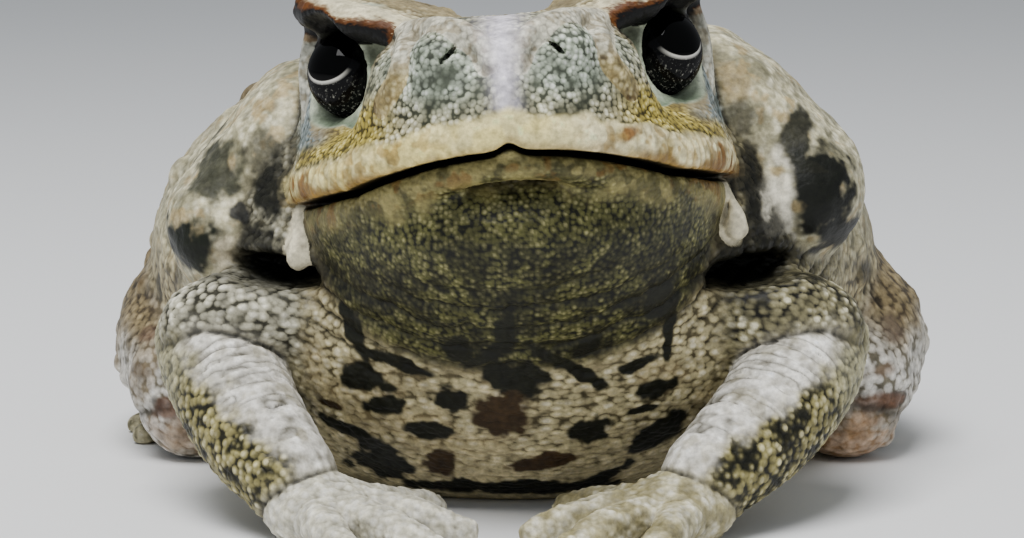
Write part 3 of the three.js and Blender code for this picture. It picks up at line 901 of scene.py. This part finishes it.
# %% Chest, belly and arms
lay_beads(chest, chest_beads, "#4E4630", "#C0B48A", "#E8DEC0")
lay(0.35 * chest * step(-0.1, 0.5, broad), "#A8946A")
lay(0.7 * on("trunk") * step(0.3, 0.8, -nz), "#BDB08A")
lay_beads(upper_shoulder, arm_beads, "#100F0A", "#857E5E", "#D9D2B4")
lay(0.7 * upper_shoulder * step(0.15, 0.6, ragged) * left_side, "#1E1D14")
lay_beads(0.6 * upper_shoulder * right_side, arm_beads, "#3A382C", "#B4B1A0", "#DEDBCE")
lay_beads(outer + on("hand") * 0.4, fore_beads, "#1C1B0E", "#8A8152", "#C9C096")
lay(0.75 * outer * (1 - step(0.3, 0.55, along_arm)) * (0.4 + 0.6 * fore_beads), "#B4B094")
lay(inner * (0.8 + 0.2 * fine), "#E0DDD6")
# painted shade in the grooves of the wrinkles
lay(inner * (1 - wrinkles) ** 1.6 * 0.9, "#4E4A3C")
lay(0.5 * inner * step(0.2, 0.6, ragged), "#8A8266")
lay_beads(0.8 * on("hand"), 0.35 + 0.65 * fore_beads, "#6E6A4A", "#BDB698", "#DCD8C8")
lay(0.6 * on("hand") * right_side * (0.5 + 0.5 * fore_beads), "#D6D4CC")
lay(0.8 * on("hand") * left_side * step(-0.4, 0.3, ragged), "#857C56")
# black pits between the granules of the lower forearm
pits = specks(2.2, 71, -0.15, 0.35) * (1 - step(0.5, 1.0, fore_beads)) * step(0.3, 0.5, along_arm)
lay(0.95 * outer * pits, "#14140A")

# %% Glands and throat
behind_gland = flank * step(28, 40, pz) * (1 - step(2, 36, py + 9 * broad + 5 * ragged))
gland_skin = np.clip(on("parotoid") + behind_gland, 0, 1)
lay_beads(gland_skin, 0.35 + 0.65 * body_beads, "#6E6A50", "#B9B292", "#D6D0B4")
lay(0.6 * gland_skin * specks(1.5, 73, 0.0, 0.5), "#77735A")
lay(0.6 * gland_skin * step(0.1, 0.5, broad), "#6A664C")
lay(0.5 * gland_skin * step(0.25, 0.6, ragged), "#A58B58")
lay_beads(on("jaw"), fine_beads, "#12130A", "#56552F", "#938D62")
throat_dark = step(-0.25, 0.2, ragged + 0.5 * broad) * (1 - step(40, 46, uz + 1.2 * wander))
lay(0.85 * on("jaw") * throat_dark * (1 - 0.35 * fine_beads), "#0C0D07")
# the lower lip's olive colour, partly its own and partly painted shade under the overhanging upper lip
lay(0.85 * on("jaw") * step(-6.5, -2, from_mouth + 2.2 * wander), "#8A8050")
lay(0.7 * on("jaw") * step(-8, -3, from_mouth) * specks(1.8, 87, 0.0, 0.4, 3), "#3C3A20")
lay(0.7 * on("jaw") * step(-5, -2, from_mouth) * step(0.1, 0.5, ragged), "#7A5A2A")
# painted shade in the grooves of the throat folds
lay(0.8 * throat_mask * (1 - throat_folds), "#14140A")
lay(0.3 * on("jaw") * (1 - step(-10, -5, from_mouth)) * step(-0.5, 0.5, broad), "#0C0D07")
print("mean body colour", paint.mean(axis=0).round(3))

# %% [markdown]
# Each blotch is a ragged ellipsoid. One of the chest runs through it from the front, and its row gives its
# place across and up, its half width and height and its tilt. The row of one of the glands or haunches gives
# its centre, radii, colour and strength.

# %% Blotches of the chest and throat
CHEST_SPOTS = [
    [0, 21.3, 4.3, 2.5, -12], [-9.4, 18.1, 2.9, 1.7, 0], [-11.6, 12.7, 3.4, 1.2, -5],
    [10.3, 13.1, 3.2, 2, 10], [-7.5, 26.4, 2.4, 1.5, -20], [-0.7, 28.5, 1.4, 3, 0], [-3.6, 25, 3.3, 0.9, 35],
    [7.5, 23.4, 6.5, 1, -32], [10.2, 26.2, 2.6, 1.3, 35], [20.6, 32.5, 2.3, 3, 10], [21.8, 26.4, 0.8, 3.2, 0],
    [17.9, 23.1, 3.2, 0.8, 20], [20.1, 19.1, 2.6, 1.3, 15], [-20.8, 20.5, 3.2, 1.9, -10],
    [-18, 16.6, 2.9, 1.4, 0], [-22.1, 27.5, 1.2, 3, 25], [-15.6, 23.2, 4.2, 0.9, -20],
    [-19.1, 7, 4.2, 3.2, -30], [-24.6, 12.7, 3.4, 0.9, -25], [20.4, 11.9, 4.6, 1.8, 40],
    [-0.3, 3, 14, 1.3, 0], [12.7, 4.2, 4.5, 1.1, 25], [18.1, 15.8, 2.4, 0.5, 10],
]
BROWN_SPOTS = [
    [-1, 15.7, 3.4, 2.9, 0], [-10.3, 7.9, 2.2, 2.8, 0], [4, 7.8, 4.6, 1.2, 10], [-25.9, 15.9, 1.6, 0.6, -20],
]
CHEST_Y, THROUGH = -42, 60
spotted = (chest + upper_shoulder + on("jaw")) * (py < -18)
for spots, code in ((CHEST_SPOTS, "#15160C"), (BROWN_SPOTS, "#3A2A16")):
    for x, z, half_width, half_height, tilt in spots:
        lay(spotted * spot([x, CHEST_Y, z], [half_width * 1.15, THROUGH, half_height * 1.2], tilt), code)

# %% Blotches of the glands and haunches
GLAND_SPOTS = [
    ([-46.8, -22, 37.4], [4.9, 12, 4.3], "#12160C", 1.0),
    ([-43.5, -20, 47.6], [4.4, 9, 4.2], "#1E2218", 0.9),
    ([-39.3, -25.4, 42.1], [1.7, 4, 1.6], "#15171C", 0.95),
    ([-34.8, -27.7, 45.5], [2.8, 8, 4], "#22221A", 0.9),
    ([-35.4, -23, 51], [3, 8, 3.4], "#35332A", 0.75),
    ([-46, -8, 52], [5, 5, 4], "#2E2E22", 0.8),
    ([44.6, -24, 45], [5, 12, 7.4], "#0C0E08", 1.0),
    ([41.4, -22, 53], [2.6, 8, 5], "#12140D", 0.95),
    ([48.2, -19, 38.5], [5, 12, 3.4], "#0C0E08", 1.0),
    ([34.9, -26, 45.6], [1.5, 9, 7.4], "#1C1C1A", 0.9),
    ([31.6, -22, 60.4], [3.6, 6, 3.2], "#A08A5A", 0.6),
    ([33, -23.7, 56], [2.8, 8, 2.6], "#3A382C", 0.75),
    ([-40, -27, 35.6], [4, 8, 3.2], "#D2C6A8", 0.9),
    ([38.4, -28, 42.5], [2.7, 9, 8], "#E4DECA", 0.85),
    ([-37.2, -19.5, 56.4], [1.1, 5, 1.4], "#9A7E48", 0.6),
    ([-35.6, -23, 57.6], [1.4, 6, 1.2], "#9A7E48", 0.5),
]
HAUNCH_SPOTS = [
    ([51.2, -1, 3.1], [7, 12, 4.8], "#A88058", 0.7),
    ([-51.7, -1.8, 5], [4, 9, 3.4], "#A0866C", 0.6),
    ([-53.2, -2.6, 8.9], [2, 6, 1.7], "#6A4A38", 0.8),
    ([-55.7, 1, 19.9], [2.4, 6, 1.5], "#5A4636", 0.8),
    ([-57.1, -0.4, 14.7], [1.4, 6, 1.2], "#5A4C3A", 0.7),
    ([-59, 4, 27], [3, 8, 2], "#4C4A40", 0.7),
    ([56.4, -2.6, 10.4], [4.6, 9, 1.5], "#6E4E3A", 0.8),
    ([59, 3, 20.6], [2, 8, 2.2], "#5A4C3E", 0.8),
    ([54.2, 4, 29.4], [2.6, 8, 1.8], "#4A4434", 0.8),
    ([57, 2, 15], [2.4, 8, 1.2], "#7A6450", 0.7),
]
gland_side = on("parotoid") + flank + chest * (pz > 39)
for where, spots, soft in ((gland_side, GLAND_SPOTS, 0.25), (legs + flank, HAUNCH_SPOTS, 0.4)):
    for centre, radii, code, strength in spots:
        lay(strength * where * spot(centre, radii, soft=soft), code)
print(len(CHEST_SPOTS + BROWN_SPOTS), "blotches in front,", len(GLAND_SPOTS + HAUNCH_SPOTS), "at the sides")

# %% [markdown]
# The face is what the animal is known by: a grey-green snout with a whitish ridge down its middle, brows that
# are cream above with painted shadow almost black beneath, yellow olive skin under the eyes and a cream lip
# with ochre wear.

# %% Snout and cheeks
lay_beads(on("head"), head_beads, "#2E2E1E", "#989070", "#D2CDB2")
nose = np.exp(-(((from_middle - 9) / 8) ** 2 + ((uz - 66.5) / 5) ** 2)) * (uy < -50)
lay_beads(on("head") * np.clip(nose * 1.5, 0, 1), head_beads, "#40443A", "#98A08E", "#CDD1C6")
lay(0.6 * on("head") * nose * specks(2.0, 85, 0.1, 0.6, 3), "#565C4E")
under_eye = step(13, 19, from_middle) * step(4.5, 6, from_mouth) * (1 - step(9.5, 12.5, from_mouth))
lay_beads(on("head") * under_eye * (uy < -36), head_beads, "#3C340E", "#A08F40", "#CFC27E")
behind_eye = np.clip(step(24, 27, from_middle) * step(-46, -40, uy) * step(7, 9, from_mouth), 0, 1)
lay_beads(on("head") * behind_eye * (1 - step(-24, -18, uy)), head_beads, "#33403F", "#7F8B8C", "#A9B3B2")
top_of_head = on("head") * step(0.4, 0.8, nz) * step(-46, -36, uy)
lay(0.85 * top_of_head, "#8A7B58")
lay(0.5 * top_of_head * mottle, "#5A4B34")

# %% Crests, brows and lids
lay(0.8 * crest * (0.5 + 0.5 * head_beads), "#D8D2BE")
ochre_crest = crest * step(10, 13, from_middle) * (1 - step(65, 69, uz)) * (uy < -40)
lay_beads(0.8 * ochre_crest, 0.3 + 0.7 * head_beads, "#4E421E", "#8E7C42", "#C2B27C")
lay(0.5 * crest * specks(1.2, 83, 0.0, 0.4), "#6E5C36")
lay(0.8 * ochre_crest * step(0.3, 0.6, ragged), "#3E2A10")
lay(0.95 * midline * step(57, 60, uz), "#D9D3DC")
brow = (1 - step(0.3, 1.8, brow_gap)) * on("head")
lay(brow * (0.7 + 0.3 * head_beads), "#D6CCA8")
facing_down = -nz + 0.12 * wander
in_front = (ny < 0.45) * (uy < -20)
lay(0.7 * brow * step(-0.9, -0.5, facing_down) * in_front, "#8E6A38")
lay(brow * step(-0.85, -0.5, facing_down) * in_front, "#55300F")
# painted shadow: the skin under the overhanging brow is painted almost black
shadow_under_brow = (1 - step(4.5, 6, brow_gap)) * step(-0.32, 0.0, facing_down) * on("head") * (uz > 66)
lay(shadow_under_brow * in_front * (from_middle > 14), "#060403")
lay(lid * on("head"), "#D2DBC0")
lay(lid * on("head") * step(0, 3, EYE_CENTRE[2] - 4 - uz), "#6E7C66")
# painted shadow of the brow on the top of the lid
lay(lid * on("head") * step(1.2, 2.6, uz - EYE_CENTRE[2]) * (1 - 0.6 * inner_corner), "#0C0806")
# painted shade in the pit under the front end of the brow
shade_before_brow = haze(u, [16.6, -44, 67.6], [4, 4.5, 2.6])
lay(np.clip(2.2 * shade_before_brow - 0.3, 0, 1) * on("head") * (brow_gap > 0.6), "#150D07")

# %% Lips, rictal glands and nostrils
lay(lip_mask, "#EBDD9E")
lay(0.6 * lip_mask * step(-0.1, 0.5, wander), "#D2C074")
lay(0.5 * lip_mask * step(4, 12, ux), "#F2EAC8")
lay(0.4 * lip_mask * step(0.0, 0.5, ragged) * step(6, 16, from_middle), "#A9954C")
worn_edge = 1 - step(0.8, 2.2, from_mouth + 0.7 * wander)
lay((0.45 + 0.4 * step(10, 22, from_middle)) * lip_mask * worn_edge, "#8A6426")
# painted shade on the underside of the lip, where it faces down over the mouth
lay(lip_mask * step(0.85, 0.97, -nz) * (1 - step(0.3, 0.8, from_mouth)), "#0F0B06")
lay(0.6 * lip_mask * specks(1.3, 81, 0.15, 0.55) * step(3, 16, from_middle), "#8F6E2E")
# painted shade in the grooves between the flutes
lay(0.5 * lip_mask * (1 - flutes) * lip_side, "#8E7434")
lay(0.9 * lip_mask * step(26.5, 29, from_middle) * step(-0.1, 0.5, ragged), "#7A5220")
lay(0.85 * on("head") * spot([15.5, -61.3, 57.2], [1.5, 5, 1.1], soft=0.35), "#6A4014")
lay(0.6 * on("head") * spot([14.2, -61.3, 56.8], [1.2, 5, 0.8], soft=0.4), "#A08040")
lay(1 - step(0.15, 0.55, gland_gap), "#D6CDB0")
nostril = haze(u, [7.1, -64, 68.4], [1.5, 3, 1.5])
# painted shade in the slit of each nostril
lay(on("head") * step(0.45, 0.8, nostril) * step(0.05, 0.3, hollow), "#0E0D08")
# painted shade in the slot of the shut mouth
lay(mouth_inside, "#0D0A05")
# painted shadow of the upper lip on the top of the lower lip
lay(on("jaw") * step(-0.8, -0.5, from_mouth + 0.1 * wander) * step(0.3, 0.7, nz), "#0D0A05")

# %% [markdown]
# Last comes the painted shade: in the fold of the neck, behind the jaw, in the creases, and in every small
# hollow.

# %% Painted shade in the hollows
# painted shade: the deep fold of the neck, under each gland and the corner of the jaw, is painted near black
neck = haze(points, [32.5, -30, 34.8], [8.4, 14, 3], power=2)
beside_gland = gland_gap > 0.3
lay(1.3 * neck * (1 - on("forearm")) * beside_gland, "#0F0F09")
# painted shade: the skin behind the jaw, between the head, the gland and the arm, is painted near black
shade_behind_jaw = on("trunk", "upper_arm") * step(32, 35, pz) * step(23, 27, np.abs(px))
shade_behind_jaw = shade_behind_jaw * (py < -8) * (1 - 0.5 * step(0.1, 0.5, wander))
lay(0.92 * shade_behind_jaw * beside_gland, "#12120B")
# painted shade along the creases where two parts meet
lay(0.75 * creases, "#1A180F")
# painted shade: every hollow is darkened by as much as it is deep
hollow_shade = step(0.015, 0.32, hollow)
paint *= (1 - 0.72 * hollow_shade)[:, None]
paint *= (1 + 0.3 * fine + 0.15 * wander)[:, None]
paint = np.clip(paint, 0.002, 0.9)
print("mean colour", paint.mean(axis=0).round(3))

# %% [markdown]
# ## Into the scene
#
# The skin becomes one mesh, whose points carry their colour and how wet they are.

# %% Put the skin in the scene
def mesh_object(name, points, faces):
    mesh = bpy.data.meshes.new(name)
    mesh.vertices.add(len(points))
    mesh.vertices.foreach_set("co", ((points + TO_MIDDLE) * MM).astype(np.float32).ravel())
    mesh.loops.add(faces.size)
    mesh.loops.foreach_set("vertex_index", faces.astype(np.int32).ravel())
    mesh.polygons.add(len(faces))
    mesh.polygons.foreach_set("loop_start", np.arange(0, faces.size, 3, dtype=np.int32))
    mesh.polygons.foreach_set("use_smooth", np.ones(len(faces), bool))
    mesh.update(calc_edges=True)
    made = bpy.data.objects.new(name, mesh)
    bpy.context.scene.collection.objects.link(made)
    return made


def carry(made, name, kind, key, values):
    """Gives each point of a mesh a value that its material can read."""
    attribute = made.data.attributes.new(name, kind, "POINT")
    attribute.data.foreach_set(key, values.astype(np.float32).ravel())


skin = mesh_object("toad_skin", points, faces)
carry(skin, "paint", "FLOAT_COLOR", "color", np.column_stack([paint, np.ones(len(paint))]))
wetness = np.clip(0.35 + 0.3 * lip_mask + 0.5 * lid + 0.2 * on("jaw") + 0.2 * inner, 0, 1)
carry(skin, "wetness", "FLOAT", "value", wetness)
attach(skin, "root")
FLESH = ["head", "lower_jaw", "trunk"] + [f"{part}_{name}" for name in ("right", "left") for part in (
    "parotoid", "hand", "forearm", "upper_arm", "foot", "shank", "thigh")]
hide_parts(*FLESH)
print("one skin replaces", len(FLESH), "solids")

# %% [markdown]
# ## The eyes
#
# Each eye is a ball set deep under the brow, with a low bulge for the cornea. The pupil is a wide black oval,
# high in the eye, with a thin silver rim that is painted only along its lower edge, as a highlight where it
# catches the light. The iris round it is almost black, freckled with silver low down. Every point of the ball
# carries its direction as seen along the line of sight, so the shader can draw the rim.

# %% Eye balls
PUPIL_OUT, PUPIL_UP = 37, 31
BALL_PLAY = 0.05
BULGE, BULGE_SPREAD = 0.25, 0.6


def pupil_axes(side):
    """The line of sight, and the directions across and up from it."""
    ahead = look_axis(side, PUPIL_OUT, PUPIL_UP)
    across = np.cross(ahead, [0, 0, 1])
    across /= np.linalg.norm(across)
    return ahead, across, np.cross(across, ahead)


def tilted(directions):
    """Directions in the head, turned as the head is rolled."""
    c, s = math.cos(HEAD_ROLL), math.sin(HEAD_ROLL)
    x, y, z = directions.T
    return np.stack([x * c - z * s, y, z * c + x * s], axis=1)


def unit_sphere(rings=96, sectors=160):
    """Points one unit from the middle, and the triangles between them."""
    polar = np.linspace(0, math.pi, rings + 1)[1:-1]
    turn = np.linspace(0, 2 * math.pi, sectors, endpoint=False)
    sphere = np.array([[math.sin(a) * math.cos(b), math.sin(a) * math.sin(b), math.cos(a)]
                       for a in polar for b in turn] + [[0, 0, 1], [0, 0, -1]])
    ring, sector = np.meshgrid(np.arange(rings - 2), np.arange(sectors), indexing="ij")
    a = (ring * sectors + sector).ravel()
    b = (ring * sectors + (sector + 1) % sectors).ravel()
    top, bottom = len(sphere) - 2, len(sphere) - 1
    first = np.arange(sectors)
    last = first + (rings - 2) * sectors
    following = (first + 1) % sectors
    return sphere, np.vstack([
        np.stack([a, a + sectors, b], axis=1),
        np.stack([b, a + sectors, b + sectors], axis=1),
        np.stack([np.full(sectors, top), first, following], axis=1),
        np.stack([np.full(sectors, bottom), following + (rings - 2) * sectors, last], axis=1),
    ])


def eye_ball(name, side):
    sphere, triangles = unit_sphere()
    seen = sphere @ np.array(pupil_axes(side)).T
    off_axis = np.arccos(np.clip(seen[:, 0], -1, 1))
    radius = EYE_RADIUS - BALL_PLAY + BULGE * np.exp(-((off_axis / BULGE_SPREAD) ** 2))
    place = eye_place(side) - [0, 0, HEAD_PIVOT_Z]
    ball_points = tilted(place + sphere * radius[:, None]) + [0, 0, HEAD_PIVOT_Z]
    made = mesh_object(f"eye_ball_{name}", ball_points, triangles)
    carry(made, "look", "FLOAT_VECTOR", "vector", seen[:, [1, 2, 0]])
    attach(made, "root")
    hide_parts(f"eye_{name}")
    return made


eye_balls = [eye_ball(name, side) for name, side in (("right", -1), ("left", 1))]
print("eyes have", sum(len(ball.data.polygons) for ball in eye_balls), "triangles")

# %% [markdown]
# ## Materials
#
# Skin is satin, a little wetter on the lips and lids. Under the painted colour lie freckles and pores far
# finer than the mesh, patterned from their size in millimetres. The eye is as smooth as water, over a dark
# iris.

# %% Tools for materials
def add_node(tree, kind, links=None, **settings):
    """Adds a node. Settings are its own properties or, when they name a socket, that socket's value."""
    node = tree.nodes.new(kind)
    sockets = {}
    for name, value in settings.items():
        if hasattr(node, name):
            setattr(node, name, value)
        else:
            sockets[name.replace("_", " ")] = value
    for name, value in sockets.items():
        node.inputs[name].default_value = value
    for name, source in (links or {}).items():
        tree.links.new(source, node.inputs[name])
    return node


def new_material(name):
    material = bpy.data.materials.new(name)
    material.use_nodes = True
    tree = material.node_tree
    return material, tree, tree.nodes["Principled BSDF"]


def carried(tree, name, output):
    """Reads a value that the mesh carries."""
    return add_node(tree, "ShaderNodeAttribute", attribute_name=name).outputs[output]


def mapped(tree, value, low, high, to_low=0.0, to_high=1.0):
    """Maps a value from one range to another."""
    return add_node(tree, "ShaderNodeMapRange", {"Value": value}, From_Min=low, From_Max=high,
                    To_Min=to_low, To_Max=to_high).outputs["Result"]


def product(tree, one, other):
    return add_node(tree, "ShaderNodeMath", {0: one, 1: other}, operation="MULTIPLY").outputs["Value"]


def ramp(tree, value, *stops):
    """A ramp between two colours, each with the value at which it is reached."""
    node = add_node(tree, "ShaderNodeValToRGB", {"Fac": value})
    for element, (position, code) in zip(node.color_ramp.elements, stops):
        element.position = position
        element.color = (*linear(code), 1)
    return node


def mixed(tree, factor, *colours):
    """Mixes two colours. Each is a code or comes out of another node."""
    node = add_node(tree, "ShaderNodeMix", {"Factor": factor}, data_type="RGBA")
    for socket, colour in zip((node.inputs[6], node.inputs[7]), colours):
        if isinstance(colour, str):
            socket.default_value = (*linear(colour), 1)
        else:
            tree.links.new(colour, socket)
    return node.outputs[2]


def in_mm(size):
    """A pattern scale for features about size millimetres across."""
    return 1 / (size * MM)


# %% The skin's material
# pores and freckles break the highlights up into small glints
toad_skin, tree, shader = new_material("toad_skin")
place = add_node(tree, "ShaderNodeTexCoord").outputs["Object"]
freckles = add_node(tree, "ShaderNodeTexNoise", {"Vector": place}, Scale=in_mm(0.7), Detail=4.0,
                    Roughness=0.65)
freckle_shade = mapped(tree, freckles.outputs["Fac"], 0.3, 0.7, 0.72, 1.25)
freckled = add_node(tree, "ShaderNodeVectorMath", {0: carried(tree, "paint", "Color"), 1: freckle_shade},
                    operation="MULTIPLY")
tree.links.new(freckled.outputs["Vector"], shader.inputs["Base Color"])
tree.links.new(mapped(tree, carried(tree, "wetness", "Fac"), 0.0, 1.0, 0.62, 0.3), shader.inputs["Roughness"])
pores = add_node(tree, "ShaderNodeTexVoronoi", {"Vector": place}, Scale=in_mm(0.55))
pored = add_node(tree, "ShaderNodeBump", {"Height": pores.outputs["Distance"]}, Strength=0.35,
                 Distance=0.09 * MM).outputs["Normal"]
grained = add_node(tree, "ShaderNodeBump", {"Height": freckles.outputs["Fac"], "Normal": pored}, Strength=0.5,
                   Distance=0.12 * MM)
tree.links.new(grained.outputs["Normal"], shader.inputs["Normal"])
shader.inputs["Specular IOR Level"].default_value = 0.22
skin.data.materials.append(toad_skin)

# %% The eye's material
# a black iris and pupil lie under a clear, glossy cornea
PUPIL_HALF_WIDTH, PUPIL_HALF_HEIGHT = 0.64, 0.57
wet_eye, tree, shader = new_material("wet_eye")
look = carried(tree, "look", "Vector")
look_up = add_node(tree, "ShaderNodeSeparateXYZ", {"Vector": look}).outputs["Y"]
oval = add_node(tree, "ShaderNodeVectorMath", {0: look}, operation="MULTIPLY")
oval.inputs[1].default_value = (1 / PUPIL_HALF_WIDTH, 1 / PUPIL_HALF_HEIGHT, 0)
# 1 on the pupil's edge, less inside it
away = add_node(tree, "ShaderNodeVectorMath", {0: oval.outputs["Vector"]},
                operation="LENGTH").outputs["Value"]
speckle = add_node(tree, "ShaderNodeTexNoise", {"Vector": look}, Scale=13.0, Detail=5.0, Roughness=0.7)
silvery = ramp(tree, speckle.outputs["Fac"], (0.57, "#0A0A0C"), (0.7, "#A6A69E"))
iris = mixed(tree, mapped(tree, look_up, -0.25, -0.75), "#08080A", silvery.outputs["Color"])
inside = add_node(tree, "ShaderNodeMath", {0: away}, operation="LESS_THAN")
inside.inputs[1].default_value = 0.97
dark = mixed(tree, inside.outputs["Value"], iris, "#020202")
rim = ramp(tree, away, (0.955, "#000000"), (1.0, "#FFFFFF"))
rim.color_ramp.interpolation = "EASE"
ring = product(tree, rim.outputs["Color"], mapped(tree, away, 1.0, 1.11, 1.0, 0.0))
# painted highlight: the silver rim is bright only along the pupil's lower edge
lit_low_ring = product(tree, ring, mapped(tree, look_up, -0.2, -0.5))
tree.links.new(mixed(tree, lit_low_ring, dark, "#E6E3DA"), shader.inputs["Base Color"])
shader.inputs["Roughness"].default_value = 0.5
shader.inputs["Specular IOR Level"].default_value = 0.0
shader.inputs["Coat Weight"].default_value = 0.18
shader.inputs["Coat Roughness"].default_value = 0.03
for eye in eye_balls:
    eye.data.materials.append(wet_eye)
print("materials:", toad_skin.name, "and", wet_eye.name)

# %% [markdown]
# ## Camera, floor and light
#
# A long lens looks down a little from half a metre away. The sky is dim and even, and one broad light hangs
# over the toad, a little in front and to one side.

# %% Camera
F_PIXELS, PHOTO_WIDTH, SENSOR = 3276.0, 1024, 36
CAMERA_PLACE, LOOKING_DOWN = [0, -496, 100], 8
camera_data = bpy.data.cameras.new("camera")
camera_data.sensor_width = SENSOR
camera_data.lens = F_PIXELS * SENSOR / PHOTO_WIDTH
camera_data.clip_start = 0.01
camera_data.clip_end = 20
camera = bpy.data.objects.new("camera", camera_data)
camera.location = Vector(TO_MIDDLE + CAMERA_PLACE) * MM
camera.rotation_euler = (math.radians(90 - LOOKING_DOWN), 0, 0)
bpy.context.scene.collection.objects.link(camera)
bpy.context.scene.camera = camera
print("lens", round(camera_data.lens, 1), "mm")

# %% Floor and light
KEY_PLACE, KEY_TARGET = (-0.12, -0.34, 0.85), Vector((0, 0, 0.04))
bpy.ops.mesh.primitive_plane_add(size=20)
ground = bpy.context.object
ground.name = "floor"
world = bpy.data.worlds.new("studio")
bpy.context.scene.world = world
world.use_nodes = True
sky = world.node_tree.nodes["Background"]
sky.inputs["Color"].default_value = (0.8, 0.85, 0.9, 1)
sky.inputs["Strength"].default_value = 0.5
key = bpy.data.lights.new("key", "AREA")
key.size = 0.5
key.energy = 11.5
key_object = bpy.data.objects.new("key", key)
key_object.location = KEY_PLACE
key_object.rotation_euler = (KEY_TARGET - key_object.location).to_track_quat("-Z", "Y").to_euler()
bpy.context.scene.collection.objects.link(key_object)
